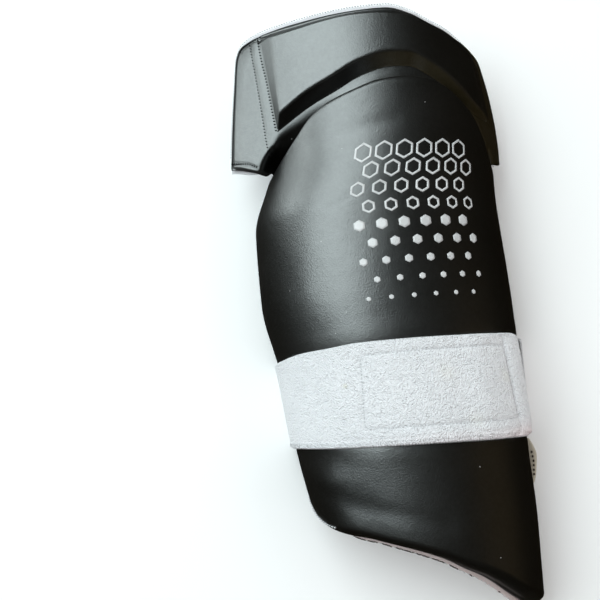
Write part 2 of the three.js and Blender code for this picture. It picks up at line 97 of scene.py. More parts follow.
# angle on the seam, then the border: distance round, station
FLAP_BORDER = np.array([
    (-84, -123.2, 108.2), (-79, -119, 138), (-73, -114, 168), (-66, -109.3, 192.5),
    (-59, -102.6, 201.2), (-50, -86, 205.8), (-38, -62, 207.8), (-18, -29, 208.6),
    (0, 8, 208.5), (12, 28, 203.4), (20, 41, 197.4), (28, 56, 192), (36, 68, 186.2),
    (46, 81, 179.8), (54, 90.4, 174.2), (61, 96.8, 163.4), (67, 105, 146), (73, 112.2, 122),
    (78, 114, 97)])
# share, distance round, station
BLOCK_LOWER = np.array([
    (0, -80, 127.7), (0.06, -72.5, 131.6), (0.19, -52, 141.8), (0.31, -32, 149.2),
    (0.42, -13, 157.1), (0.54, 8, 161.4), (0.61, 20, 160.8), (0.7, 34, 154.7),
    (0.78, 46.5, 147.3), (0.86, 60, 138.2), (0.93, 75, 128.6), (1, 95, 124.8)])
BLOCK_UPPER = np.array([
    (0, -87.5, 199.2), (0.06, -78, 199.6), (0.19, -58, 200), (0.31, -38, 201.2),
    (0.42, -17, 201.8), (0.54, 6, 200.8), (0.61, 19, 198.8), (0.7, 33, 194),
    (0.78, 46, 188.2), (0.86, 59, 182.6), (0.93, 71, 176.4), (1, 84, 169.5)])
# share, height of the block, width of its lower bevel
BLOCK_TOP = np.array([
    (0, 6.4, 8.8), (0.2, 8.4, 8.8), (0.45, 9.5, 8.6), (0.6, 9, 8), (0.75, 7.3, 6.8),
    (0.86, 5.8, 5.4), (1, 3.4, 3.2)])
# angle, upper edge, lower edge
STRAP_EDGES = np.array([
    (-90, -40, -99), (-70, -38.4, -99.4), (-50, -35.8, -100.4), (-35, -35, -101.2),
    (-20, -33.6, -101.8), (0, -33.8, -102.6), (20, -34.4, -103.6), (40, -34.8, -104.4),
    (72, -35.2, -104.8), (90, -38, -103)])


def lerp(a, b, t):
    return a + (b - a) * t


def smooth(lo, hi, v):
    t = np.clip((np.asarray(v, float) - lo) / (hi - lo), 0, 1)
    return t * t * (3 - 2 * t)


def bell(d, width):
    return np.exp(-(np.asarray(d, float) / width) ** 2)


def column(table, k):
    """Shape-preserving cubic through column k of a table."""
    x, y = table[:, 0].astype(float), table[:, k].astype(float)
    h = np.diff(x)
    s = np.diff(y) / h
    m = np.empty(len(x))
    m[0], m[-1] = s[0], s[-1]
    for i in range(1, len(x) - 1):
        if s[i - 1] * s[i] <= 0:
            m[i] = 0
        else:
            a, b = 2 * h[i] + h[i - 1], h[i] + 2 * h[i - 1]
            m[i] = (a + b) / (a / s[i - 1] + b / s[i])

    def value(v):
        v = np.asarray(v, float)
        i = np.clip(np.searchsorted(x, v, side="left") - 1, 0, len(x) - 2)
        t = (v - x[i]) / h[i]
        t2, t3 = t * t, t * t * t
        cubic = ((2 * t3 - 3 * t2 + 1) * y[i] + (t3 - 2 * t2 + t) * h[i] * m[i]
                 + (3 * t2 - 2 * t3) * y[i + 1] + (t3 - t2) * h[i] * m[i + 1])
        return np.where(v <= x[0], y[0] + m[0] * (v - x[0]),
                        np.where(v >= x[-1], y[-1] + m[-1] * (v - x[-1]), cubic))
    return value


def unit(v):
    return v / np.maximum(np.linalg.norm(v, axis=-1, keepdims=True), 1e-12)


def xyz(x, y, z):
    return np.stack(np.broadcast_arrays(x, y, z), -1).astype(float)


LATTICE = np.random.RandomState(7).rand(257, 257)


def ripple(u, v, seed=0):
    """Smooth noise from -1 to 1 over the plane, one lump to a unit."""
    u = np.asarray(u, float) + 31.7 * seed + 40
    v = np.asarray(v, float) + 17.3 * seed + 60
    i, j = np.floor(u).astype(int), np.floor(v).astype(int)
    fu, fv = u - i, v - j
    fu, fv = fu * fu * (3 - 2 * fu), fv * fv * (3 - 2 * fv)
    at = lambda a, b: LATTICE[a % 257, b % 257]
    low = at(i, j) * (1 - fu) + at(i + 1, j) * fu
    high = at(i, j + 1) * (1 - fu) + at(i + 1, j + 1) * fu
    return 2 * (low * (1 - fv) + high * fv) - 1


def to_line(u, v, line):
    """Distance from points of the plane to a line of points, and how far along it."""
    line = np.asarray(line, float)
    best = np.full(np.shape(u), np.inf)
    along = np.zeros(np.shape(u))
    run = 0.0
    for p, q in zip(line[:-1], line[1:]):
        d = q - p
        length = math.hypot(*d)
        t = np.clip(((u - p[0]) * d[0] + (v - p[1]) * d[1]) / length ** 2, 0, 1)
        dist = np.hypot(u - p[0] - t * d[0], v - p[1] - t * d[1])
        near = dist < best
        along = np.where(near, run + t * length, along)
        best = np.where(near, dist, best)
        run += length
    return best, along


# ---- main pad
half, centre, crown = (column(PAD_SECTIONS, k) for k in (1, 2, 3))
upper_edge, lower_edge = column(PAD_EDGES, 1), column(PAD_EDGES, 2)
strap_upper, strap_lower = column(STRAP_EDGES, 1), column(STRAP_EDGES, 2)


def lift(y):
    return STRAP_LIFT * smooth(-222, -150, y) * (1 - smooth(-34, 66, y))


def pad_point(angle, y, depth):
    sin, cos = np.sin(np.radians(angle)), np.cos(np.radians(angle))
    a, sill = half(y), SILL * crown(y)
    b = crown(y) - sill
    size = np.hypot(sin * b, cos * a)
    return xyz(centre(y) + a * sin - depth * sin * b / size, y,
               np.maximum(0, sill + b * cos - depth * cos * a / size + lift(y)))


def pad_normal(angle, y):
    return unit(pad_point(angle, y, 0) - pad_point(angle, y, 1))


def roll(d, width):
    return np.sqrt(1 - (1 - np.clip(d / width, 0, 1)) ** 2)


def pad_thickness(angle, y):
    def slope(edge):
        return 1 / np.hypot(1, (edge(angle + 1) - edge(angle - 1)) / (2 * MM_PER_DEGREE))
    upper = roll((upper_edge(angle) - y) * slope(upper_edge), TOP_ROLL)
    lower = roll((y - lower_edge(angle)) * slope(lower_edge), FOOT_ROLL)
    s = np.clip((SIDE_ANGLE - np.abs(angle)) * MM_PER_DEGREE / SIDE_ROLL, 0, 1)
    return PAD_RIM + (PAD_THICKNESS - PAD_RIM) * upper * lower * (1 - (1 - s) ** 2)


def pad_front(angle, y, out):
    return pad_point(angle, y, PAD_THICKNESS - pad_thickness(angle, y) - out)


# ---- hip flap
def hip_table():
    rounds = np.linspace(-170, 170, 3401)
    rows = []
    for r in rounds:
        x = z = tilt = 0.0
        left = abs(r)
        for radius, turn in (HIP_LEFT if r < 0 else HIP_RIGHT):
            run = min(left, radius * math.radians(turn))
            after = tilt + run / radius
            x += radius * (math.sin(after) - math.sin(tilt))
            z -= radius * (math.cos(tilt) - math.cos(after))
            tilt = after
            left -= run
        x += left * math.cos(tilt)
        z -= left * math.sin(tilt)
        rows.append((HIP_CROWN_X + math.copysign(x, r), HIP_CROWN_Z + z))
    return rounds, np.array(rows)


HIP_ROUNDS, HIP_PLACES = hip_table()


def hip_x(round_):
    return np.interp(round_, HIP_ROUNDS, HIP_PLACES[:, 0])


def hip_z(round_):
    return np.interp(round_, HIP_ROUNDS, HIP_PLACES[:, 1])


def round_at(x):
    return np.interp(x, HIP_PLACES[:, 0], HIP_ROUNDS)


SEAM_ANGLES = np.linspace(SEAM_LEFT, SEAM_RIGHT, 217)
SEAM_POINTS = pad_point(SEAM_ANGLES, upper_edge(SEAM_ANGLES), PAD_THICKNESS + SEAM_GAP)
SEAM_ROUND = round_at(SEAM_POINTS[:, 0])
SEAM_DROP = SEAM_POINTS[:, 2] - hip_z(SEAM_ROUND)
SEAM_START, SEAM_WIDTH = column(VALLEY, 1)(SEAM_ANGLES), column(VALLEY, 2)(SEAM_ANGLES)


def to_seam(round_, y):
    """Distance to the seam, and the depth, start and width of the dip at its nearest point."""
    best = np.full(np.shape(round_), np.inf)
    which, share = np.zeros(np.shape(round_), int), np.zeros(np.shape(round_))
    for i in range(len(SEAM_ANGLES) - 1):
        r0, y0 = SEAM_ROUND[i], SEAM_POINTS[i, 1]
        dr, dy = SEAM_ROUND[i + 1] - r0, SEAM_POINTS[i + 1, 1] - y0
        t = np.clip(((round_ - r0) * dr + (y - y0) * dy) / (dr * dr + dy * dy), 0, 1)
        d = np.hypot(round_ - r0 - t * dr, y - y0 - t * dy)
        near = d < best
        which, share, best = np.where(near, i, which), np.where(near, t, share), np.where(near, d, best)
    return (best,) + tuple(lerp(v[which], v[which + 1], share) for v in (SEAM_DROP, SEAM_START, SEAM_WIDTH))


def flap_surface(round_, y):
    d, drop, start, width = to_seam(round_, y)
    return xyz(hip_x(round_), y, hip_z(round_) + drop * (1 - np.clip((d - start) / (width - start), 0, 1)) ** 2)


def flap_normal(round_, y):
    e = 1.0
    u = flap_surface(round_ + e, y) - flap_surface(round_ - e, y)
    v = flap_surface(round_, y + e) - flap_surface(round_, y - e)
    return unit(np.cross(u, v))


def flap_point(round_, y, out):
    return flap_surface(round_, y) + flap_normal(round_, y) * np.asarray(out)[..., None]


border_round, border_y = column(FLAP_BORDER, 1), column(FLAP_BORDER, 2)


def hem_bow(angles, shares, rise):
    """The free hem of the left wing bows down a little."""
    return rise * (shares - smooth(0.35, 1.05, shares)) * smooth(SEAM_LEFT + 8, SEAM_LEFT, angles)


def over_edge(round_, y):
    """Station at which a point of the flap clears the pad's slanted side edge."""
    at = y
    for _ in range(6):
        p = flap_surface(round_, at)
        sill = SILL * crown(at)
        sx, sz = (p[..., 0] - centre(at)) / half(at), (p[..., 2] - sill - lift(at)) / (crown(at) - sill)
        need = upper_edge(np.degrees(np.arctan2(sx, sz))) + EDGE_CLEAR
        at = y + np.maximum(0, need - y) * (1 - smooth(0.97, 1.04, np.hypot(sx, sz)))
    return at
# </shape>


# ---------------------------------------------------------------- meshes
def place(points):
    return (np.asarray(points, float).reshape(-1, 3) + ORIGIN) / 1000.0


def mesh_object(name, points, faces, material, uv=None, marks=None, smooth_faces=True):
    """A new mesh object from points in drawing millimetres. uv is a pair for each
    point, in millimetres, and marks are named numbers for each point."""
    mesh = bpy.data.meshes.new(name)
    mesh.from_pydata([(p[0], p[1], max(0.0, p[2])) for p in place(points)], [], [tuple(int(i) for i in f) for f in faces])
    if uv is not None:
        layer = mesh.uv_layers.new(name="flat")
        loops = np.zeros(len(mesh.loops), np.int32)
        mesh.loops.foreach_get("vertex_index", loops)
        layer.data.foreach_set("uv", (np.asarray(uv, float)[loops] / 1000.0).astype(np.float32).ravel())
    for key, values in (marks or {}).items():
        attribute = mesh.attributes.new(key, "FLOAT", "POINT")
        attribute.data.foreach_set("value", np.asarray(values, np.float32).ravel())
    mesh.polygons.foreach_set("use_smooth", np.full(len(mesh.polygons), smooth_faces))
    mesh.materials.append(material)
    mesh.update()
    obj = bpy.data.objects.new(name, mesh)
    bpy.context.scene.collection.objects.link(obj)
    return obj


def turned_out(points, faces):
    """The faces, turned so that they look out of the closed body that they make."""
    volume = 0.0
    for n in (3, 4):
        f = np.array([x for x in faces if len(x) == n], int)
        if len(f):
            p = points[f]
            for k in range(1, n - 1):
                volume += np.einsum("ij,ij->", p[:, 0], np.cross(p[:, k], p[:, k + 1]))
    return faces if volume > 0 else [tuple(reversed(f)) for f in faces]


def shell(front, back, uv, rim=3, bulge=0.6, marks=None):
    """A closed wall between two grids, with its edge rounded. Gives points, faces, uv, marks."""
    rows, cols = front.shape[:2]
    n = rows * cols
    idx = np.arange(n).reshape(rows, cols)
    a, b, c, d = idx[:-1, :-1].ravel(), idx[:-1, 1:].ravel(), idx[1:, 1:].ravel(), idx[1:, :-1].ravel()
    faces = list(zip(a, b, c, d)) + list(zip(a + n, d + n, c + n, b + n))
    edge = ([(0, k) for k in range(cols - 1)] + [(k, cols - 1) for k in range(rows - 1)]
            + [(rows - 1, k) for k in range(cols - 1, 0, -1)] + [(k, 0) for k in range(rows - 1, 0, -1)])
    er, ec = np.array(edge).T
    inside = front[np.clip(er, 1, rows - 2), np.clip(ec, 1, cols - 2)]
    f, g = front[er, ec], back[er, ec]
    out = f - inside
    across = unit(f - g)
    out = unit(out - across * np.sum(out * across, -1, keepdims=True))
    rings = [idx[er, ec]]
    extra = []
    for j in range(1, rim + 1):
        phi = math.pi * j / (rim + 1)
        extra.append((f + g) / 2 + (f - g) / 2 * math.cos(phi) + out * bulge * math.sin(phi))
        rings.append(2 * n + (j - 1) * len(edge) + np.arange(len(edge)))
    rings.append(idx[er, ec] + n)
    for p, q in zip(rings[:-1], rings[1:]):
        p2, q2 = np.roll(p, -1), np.roll(q, -1)
        faces += list(zip(p, q, q2, p2))
    points = np.concatenate([front.reshape(-1, 3), back.reshape(-1, 3)] + extra)
    flat = np.asarray(uv, float).reshape(-1, 2)
    uvs = np.concatenate([flat, flat] + [flat[idx[er, ec]]] * rim)
    out_marks = {}
    for key, value in (marks or {}).items():
        value = np.asarray(value, float)
        out_marks[key] = np.concatenate([value.ravel(), np.zeros(n)] + [value[er, ec]] * rim)
    return points, turned_out(points, faces), uvs, out_marks


def tube(loops, uv, marks=None):
    """Closed skin over a row of closed loops of points, with both ends filled."""
    rows, cols = loops.shape[:2]
    idx = np.arange(rows * cols).reshape(rows, cols)
    a, b = idx[:-1], idx[1:]
    a2, b2 = np.roll(a, -1, 1), np.roll(b, -1, 1)
    faces = list(zip(a.ravel(), b.ravel(), b2.ravel(), a2.ravel()))
    points = [loops.reshape(-1, 3)]
    uvs = [np.asarray(uv, float).reshape(-1, 2)]
    extra = rows * cols
    for ring, flip in ((idx[0], False), (idx[-1], True)):
        points.append(loops.reshape(-1, 3)[ring].mean(0)[None])
        uvs.append(uvs[0][ring].mean(0)[None])
        nxt = np.roll(ring, -1)
        tri = [(int(extra), int(q), int(p)) if flip else (int(extra), int(p), int(q)) for p, q in zip(ring, nxt)]
        faces += tri
        extra += 1
    points = np.concatenate(points)
    out_marks = {}
    for key, value in (marks or {}).items():
        value = np.asarray(value, float).ravel()
        out_marks[key] = np.concatenate([value, [0.0, 0.0]])
    return points, turned_out(points, faces), np.concatenate(uvs), out_marks


def along_path(points, spacing, phase=0.5):
    """Places and directions at even steps along a line of points in space."""
    points = np.asarray(points, float)
    run = np.concatenate([[0], np.cumsum(np.linalg.norm(np.diff(points, axis=0), axis=1))])
    count = max(1, int(run[-1] / spacing))
    at = (np.arange(count) + phase) * (run[-1] / count)
    place_at = lambda s: np.stack([np.interp(s, run, points[:, k]) for k in range(3)], -1)
    return place_at(at), unit(place_at(at + 0.4) - place_at(at - 0.4)), at


def stitch_mesh(lines, radius=0.35, sides=6):
    """Short lengths of thread, each a row (middle, direction, outward, length), that
    dip into the cloth at both ends."""
    shares = np.array([-0.5, -0.42, -0.25, 0.0, 0.25, 0.42, 0.5])
    sizes = np.array([0.35, 0.8, 1.0, 1.05, 1.0, 0.8, 0.35])
    lifts = np.array([-0.9, -0.2, 0.35, 0.5, 0.35, -0.2, -0.9])
    points, faces, base = [], [], 0
    turn = np.linspace(0, 2 * math.pi, sides, endpoint=False)
    for middle, direction, outward, length in lines:
        side = unit(np.cross(direction, outward))
        up = np.cross(side, direction)
        for s, k, h in zip(shares, sizes, lifts):
            c = middle + direction * (s * length) + up * (h * radius)
            points.append(c + (np.cos(turn)[:, None] * side + np.sin(turn)[:, None] * up * 0.8) * (k * radius))
        for i in range(len(shares) - 1):
            for j in range(sides):
                p, q = base + i * sides + j, base + i * sides + (j + 1) % sides
                faces.append((p, q, q + sides, p + sides))
        faces.append(tuple(base + j for j in reversed(range(sides))))
        last = base + (len(shares) - 1) * sides
        faces.append(tuple(last + j for j in range(sides)))
        base += len(shares) * sides
    return np.concatenate(points), faces


# ---------------------------------------------------------------- materials
def material(name):
    m = bpy.data.materials.new(name)
    m.use_nodes = True
    m.node_tree.nodes.clear()
    out = m.node_tree.nodes.new("ShaderNodeOutputMaterial")
    shader = m.node_tree.nodes.new("ShaderNodeBsdfPrincipled")
    m.node_tree.links.new(shader.outputs[0], out.inputs[0])
    return m, m.node_tree, shader


class Graph:
    """Short ways to add nodes to a material's tree."""

    def __init__(self, tree):
        self.tree = tree
        self.coord = None

    def node(self, kind, **settings):
        n = self.tree.nodes.new(kind)
        for key, value in settings.items():
            setattr(n, key, value)
        return n

    def link(self, a, b):
        self.tree.links.new(a, b)

    def place(self):
        if self.coord is None:
            self.coord = self.node("ShaderNodeTexCoord")
        return self.coord.outputs["Object"]

    def flat(self):
        return self.node("ShaderNodeUVMap", uv_map="flat").outputs["UV"]

    def noise(self, scale, detail=2.0, rough=0.5, vector=None, distortion=0.0):
        n = self.node("ShaderNodeTexNoise")
        n.inputs["Scale"].default_value = scale
        n.inputs["Detail"].default_value = detail
        n.inputs["Roughness"].default_value = rough
        n.inputs["Distortion"].default_value = distortion
        self.link(vector or self.place(), n.inputs["Vector"])
        return n.outputs["Fac"]

    def voronoi(self, scale, vector=None, feature="F1", output="Distance", randomness=1.0):
        n = self.node("ShaderNodeTexVoronoi", feature=feature)
        n.inputs["Scale"].default_value = scale
        n.inputs["Randomness"].default_value = randomness
        self.link(vector or self.place(), n.inputs["Vector"])
        return n.outputs[output]

    def wave(self, scale, direction, vector, distortion=0.0, detail_scale=1.0):
        n = self.node("ShaderNodeTexWave", bands_direction=direction)
        n.inputs["Scale"].default_value = scale
        n.inputs["Distortion"].default_value = distortion
        n.inputs["Detail Scale"].default_value = detail_scale
        self.link(vector, n.inputs["Vector"])
        return n.outputs["Fac"]

    def ramp(self, value, stops):
        n = self.node("ShaderNodeValToRGB")
        e = n.color_ramp.elements
        while len(e) < len(stops):
            e.new(0.5)
        for item, (at, colour) in zip(e, stops):
            item.position = at
            item.color = (*colour, 1) if len(colour) == 3 else colour
        self.link(value, n.inputs["Fac"])
        return n.outputs["Color"]

    def span(self, value, lo, hi, to_lo, to_hi):
        n = self.node("ShaderNodeMapRange")
        for key, v in zip(("From Min", "From Max", "To Min", "To Max"), (lo, hi, to_lo, to_hi)):
            n.inputs[key].default_value = v
        self.link(value, n.inputs["Value"])
        return n.outputs["Result"]

    def math(self, op, a, b=None, clamp=False):
        n = self.node("ShaderNodeMath", operation=op, use_clamp=clamp)
        for i, v in enumerate((a, b)):
            if v is None:
                continue
            if isinstance(v, (int, float)):
                n.inputs[i].default_value = v
            else:
                self.link(v, n.inputs[i])
        return n.outputs[0]

    def mix(self, fac, a, b):
        n = self.node("ShaderNodeMix", data_type="RGBA")
        for key, v in (("Factor_Float", fac), ("A_Color", a), ("B_Color", b)):
            socket = next(s for s in n.inputs if s.identifier == key)
            if isinstance(v, (int, float)):
                socket.default_value = v
            elif isinstance(v, tuple):
                socket.default_value = (*v, 1)
            else:
                self.link(v, socket)
        return next(s for s in n.outputs if s.identifier == "Result_Color")

    def mark(self, name):
        return self.node("ShaderNodeAttribute", attribute_name=name).outputs["Fac"]

    def near(self, name, width):
        """One on the line where a mark is nought, falling off to both sides."""
        v = self.math("DIVIDE", self.mark(name), width)
        return self.math("EXPONENT", self.math("MULTIPLY", self.math("MULTIPLY", v, v), -1.0))

    def bump(self, height, strength, distance, normal=None):
        n = self.node("ShaderNodeBump")
        n.inputs["Strength"].default_value = strength
        n.inputs["Distance"].default_value = distance
        self.link(height, n.inputs["Height"])
        if normal is not None:
            self.link(normal, n.inputs["Normal"])
        return n.outputs["Normal"]


def skin_material(name, rough=(0.34, 0.41), seams=()):
    m, tree, s = material(name)
    g = Graph(tree)
    cloud = g.noise(16, 4, 0.55)
    base = g.ramp(cloud, [(0.3, (0.0021, 0.0019, 0.0016)), (0.7, (0.0036, 0.0032, 0.0027))])
    # the skin is paler near its edges, which along the block's top edge is a painted highlight; and a few specks of
    # dust lie on the skin
    base = g.mix(g.math("MULTIPLY", g.mark("edge"), 0.5), base, (0.026, 0.025, 0.024))
    # painted reflection: warm brown mixed in where marked, standing in for a warm room reflected in the skin
    base = g.mix(g.mark("painted_warm_reflection"), base, (0.0165, 0.0118, 0.0036))
    speck = g.math("LESS_THAN", g.voronoi(75), 0.030)
    speck = g.math("MULTIPLY", speck, g.math("GREATER_THAN", g.noise(31, 1), 0.42))
    base = g.mix(g.math("MULTIPLY", speck, 0.7), base, (0.46, 0.46, 0.45))
    g.link(base, s.inputs["Base Color"])
    fine = g.noise(420, 3, 0.6)
    spotty = g.math("MULTIPLY", g.span(fine, 0.3, 0.7, 0.88, 1.0), g.span(g.noise(170, 2, 0.5), 0.3, 0.7, 0.95, 1.0))
    kept = g.span(g.mark("shade"), 0.0, 1.0, 1.0, 0.08)
    g.link(g.math("MULTIPLY", spotty, kept), s.inputs["Specular IOR Level"])
    g.link(g.math("MULTIPLY", kept, 0.2), s.inputs["Coat Weight"])
    worn = g.math("ADD", g.math("MULTIPLY", cloud, 0.7), g.math("MULTIPLY", fine, 0.3))
    gloss = g.span(worn, 0.3, 0.7, *rough)
    grain = g.voronoi(1150, feature="SMOOTH_F1")
    normal = g.bump(grain, 0.34, 0.0003)
    normal = g.bump(g.noise(150, 3, 0.5), 0.20, 0.0006, normal)
    # the skin is drawn in along the lines of sewing
    for mark, width in seams:
        drawn = g.near(mark, width)
        normal = g.bump(drawn, 0.03, -0.0004, normal)
        gloss = g.math("ADD", gloss, g.math("MULTIPLY", drawn, 0.03), clamp=True)
    g.link(gloss, s.inputs["Roughness"])
    g.link(normal, s.inputs["Normal"])
    s.inputs["IOR"].default_value = 1.8
    s.inputs["Coat Roughness"].default_value = 0.3
    return m


def cloth_material(name, pale, dark, pitch, painted_warm_reflection=None):
    m, tree, s = material(name)
    g = Graph(tree)
    flat = g.flat()
    across = g.wave(1.0 / pitch, "X", flat, 0.6, 3)
    along = g.wave(1.0 / pitch, "Y", flat, 0.6, 3)
    weave = g.math("MULTIPLY", across, along)
    cloud = g.noise(28, 4, 0.6)
    base = g.mix(g.span(cloud, 0.3, 0.7, 0.0, 1.0), dark, pale)
    base = g.mix(g.span(weave, 0.0, 0.5, 0.22, 0.0), base, tuple(0.55 * c for c in dark))
    # patches of painted warm reflection, where given
    if painted_warm_reflection:
        base = g.mix(g.span(g.noise(9, 2), 0.45, 0.75, 0.0, 0.5), base, painted_warm_reflection)
    g.link(base, s.inputs["Base Color"])
    s.inputs["Roughness"].default_value = 0.9
    s.inputs["Sheen Weight"].default_value = 0.25
    s.inputs["Sheen Roughness"].default_value = 0.5
    s.inputs["Specular IOR Level"].default_value = 0.25
    normal = g.bump(weave, 0.5, 0.0003)
    normal = g.bump(g.noise(520, 2), 0.25, 0.0003, normal)
    g.link(normal, s.inputs["Normal"])
    return m


def terry_material():
    m, tree, s = material("terry")
    g = Graph(tree)
    cloud = g.noise(22, 4, 0.6)
    loops = g.voronoi(1050, feature="SMOOTH_F1")
    lumps = g.noise(880, 2, 0.5, distortion=0.2)
    base = g.ramp(cloud, [(0.25, (0.79, 0.797, 0.822)), (0.75, (0.85, 0.856, 0.878))])
    # painted shade in the hollows between the loops
    painted_hollow_shade = g.math("MULTIPLY", g.span(loops, 0.2, 0.7, 0.0, 0.18), g.span(lumps, 0.3, 0.7, 1.3, 0.4))
    base = g.mix(painted_hollow_shade, base, (0.40, 0.42, 0.47))
    # painted shade in the sewn grooves
    base = g.mix(g.math("MULTIPLY", g.mark("groove"), 0.2), base, (0.42, 0.43, 0.46))
    # painted pink bounce light where marked
    base = g.mix(g.mark("painted_pink_bounce"), base, (0.80, 0.56, 0.55))
    base = g.mix(g.math("MULTIPLY", g.mark("stain"), 0.5), base, (0.70, 0.68, 0.42))
    g.link(base, s.inputs["Base Color"])
    s.inputs["Roughness"].default_value = 0.95
    s.inputs["Sheen Weight"].default_value = 0.3
    s.inputs["Sheen Roughness"].default_value = 0.6
    s.inputs["Specular IOR Level"].default_value = 0.15
    normal = g.bump(loops, 1.0, -0.001)
    normal = g.bump(lumps, 1.0, 0.0009, normal)
    g.link(normal, s.inputs["Normal"])
    return m


def webbing_material():
    m, tree, s = material("webbing")
    g = Graph(tree)
    flat = g.flat()
    ribs = g.wave(1 / 0.0016 / 1.0, "Y", flat, 0.2)
    picks = g.wave(1 / 0.0011 / 1.0, "X", flat, 0.4)
    base = g.ramp(g.noise(60, 3), [(0.3, (0.60, 0.53, 0.42)), (0.7, (0.72, 0.66, 0.54))])
    base = g.mix(g.span(ribs, 0.0, 0.6, 0.3, 0.0), base, (0.40, 0.35, 0.26))
    g.link(base, s.inputs["Base Color"])
    s.inputs["Roughness"].default_value = 0.8
    s.inputs["Sheen Weight"].default_value = 0.2
    normal = g.bump(ribs, 0.6, 0.0004)
    normal = g.bump(picks, 0.4, 0.0003, normal)
    g.link(normal, s.inputs["Normal"])
    return m


def fastener_material():
    m, tree, s = material("fastener")
    g = Graph(tree)
    pile = g.noise(900, 4, 0.7)
    base = g.ramp(pile, [(0.3, (0.004, 0.004, 0.004)), (0.75, (0.03, 0.03, 0.031))])
    g.link(base, s.inputs["Base Color"])
    s.inputs["Roughness"].default_value = 0.85
    s.inputs["Sheen Weight"].default_value = 0.3
    g.link(g.bump(pile, 0.9, 0.001), s.inputs["Normal"])
    return m


def thread_material(name, colour, rough=0.8):
    m, tree, s = material(name)
    g = Graph(tree)
    twist = g.noise(2600, 2)
    g.link(g.ramp(twist, [(0.3, tuple(0.6 * c for c in colour)), (0.7, colour)]), s.inputs["Base Color"])
    s.inputs["Roughness"].default_value = rough
    s.inputs["Specular IOR Level"].default_value = 0.25
    g.link(g.bump(twist, 0.5, 0.0002), s.inputs["Normal"])
    return m


def print_material():
    m, tree, s = material("print")
    g = Graph(tree)
    worn = g.noise(240, 4, 0.7)
    cloud = g.noise(30, 3)
    base = g.ramp(cloud, [(0.3, (0.55, 0.555, 0.56)), (0.7, (0.66, 0.665, 0.67))])
    base = g.mix(g.span(worn, 0.62, 0.72, 0.0, 0.6), base, (0.10, 0.10, 0.10))
    g.link(base, s.inputs["Base Color"])
    g.link(g.span(worn, 0.3, 0.7, 0.38, 0.55), s.inputs["Roughness"])
    s.inputs["Metallic"].default_value = 0.12
    g.link(g.bump(worn, 0.15, 0.0002), s.inputs["Normal"])
    return m


SKIN = skin_material("skin")
FLAP_SKIN = skin_material("flap_skin", seams=(("line_a", 0.42), ("line_b", 0.5)))
BLOCK_SKIN = skin_material("block_skin", (0.32, 0.39))
LINING_CLOTH = cloth_material("lining", (0.80, 0.80, 0.825), (0.70, 0.70, 0.73), 0.0011)
# the same white lining cloth, painted pink with warm light reflected from the floor
PINK_BOUNCE_CLOTH = cloth_material("foot_lining_pink_bounce", (0.76, 0.66, 0.645), (0.64, 0.53, 0.515), 0.0011, (0.72, 0.57, 0.55))
TERRY = terry_material()
WEBBING = webbing_material()
HOOK = fastener_material()
BLACK_THREAD = thread_material("black_thread", (0.006, 0.006, 0.0065))
GREY_THREAD = thread_material("grey_thread", (0.30, 0.32, 0.36))
BROWN_THREAD = thread_material("brown_thread", (0.035, 0.022, 0.017))
WHITE_THREAD = thread_material("white_thread", (0.72, 0.73, 0.75))
SILVER = print_material()


def settle(obj, replaces=None):
    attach(obj, "root")
    if replaces:
        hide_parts(replaces)
    return obj


# ---------------------------------------------------------------- main pad
# soft creases across the skin: line in (angle, station), depth, width
CREASES = [
    (((-23, 111), (-12.6, 114), (-3, 116.4), (4.2, 117.7)), 0.30, 5.0),
    (((-26, 61), (-15, 66)), 0.22, 1.6),
    (((-66, -126), (-50, -135), (-36, -141.5), (-22, -146.5), (-8, -152), (3.3, -157)), 0.5, 7.0),
]


def pad_detail(angle, y):
    """How far the fine surface stands out from the plain one."""
    around = angle * MM_PER_DEGREE * 1.1
    d = 0.16 * ripple(around / 34, y / 41, 1) + 0.07 * ripple(around / 13, y / 15, 2)
    for line, depth, width in CREASES:
        line = np.array(line, float) * np.array([MM_PER_DEGREE * 1.1, 1])
        dist, _ = to_line(around, y, line)
        d = d - depth * bell(dist, width)
    # the foam is fuller on the left, below the strap
    d = d + 3.2 * bell(angle + 52, 16) * smooth(-105, -126, y)
    d = d + 0.9 * bell(np.hypot(around + 66, y + 158), 15)
    # the foam gives a little under the strap and swells beside it
    share = (y - strap_lower(angle)) / (strap_upper(angle) - strap_lower(angle))
    beside = np.maximum(-share, share - 1) * 67
    d = d + 0.2 * bell(beside - 7, 6) * (beside > 0) - 0.35 * smooth(2, -2, beside)
    inside = np.minimum(np.minimum(upper_edge(angle) - y, y - lower_edge(angle)), (SIDE_ANGLE - np.abs(angle)) * MM_PER_DEGREE)
    return d * smooth(0, 9, inside)


def build_main_pad():
    side = np.array([93, 95.5, 98, 100.3, 102.4, 104.3, 105.9, 107.2, 108.2, 108.8, SIDE_ANGLE])
    angles = np.concatenate([-side[::-1], np.linspace(-91, 91, 141), side])
    from_lower = np.array([0, .2, .5, 1, 1.7, 2.6, 3.7, 5, 6.5, 8.3, 10.4, 13])
    from_upper = np.array([0, .12, .35, .75, 1.3, 2, 2.9, 4, 5.3, 6.8, 8.7, 11])
    lo, hi = lower_edge(angles)[:, None], upper_edge(angles)[:, None]
    t = np.linspace(0, 1, 138)[None, 1:-1]
    y = np.concatenate([lo + from_lower, lerp(lo + from_lower[-1], hi - from_upper[-1], t), hi - from_upper[::-1]], 1)
    a = np.repeat(angles[:, None], y.shape[1], 1)
    front = pad_front(a, y, pad_detail(a, y))
    back = pad_point(a, y, PAD_THICKNESS)
    uv = np.stack([a * MM_PER_DEGREE, y], -1)
    near = np.minimum(hi - y, y - lo)
    points, faces, uvs, marks = shell(front, back, uv, 3, 0.7, {"edge": bell(near, 2.2) * 0.6})
    obj = mesh_object("main_pad_body", points, faces, SKIN, uvs, marks)
    settle(obj, "main_pad")
    return obj


def foot_proud(angles):
    """How far the lining shows below the pad's knee end."""
    return lerp(FOOT_PROUD_LEFT, FOOT_PROUD_RIGHT, smooth(-20, 70, angles)) * (1 - smooth(88, 100, np.abs(angles)))


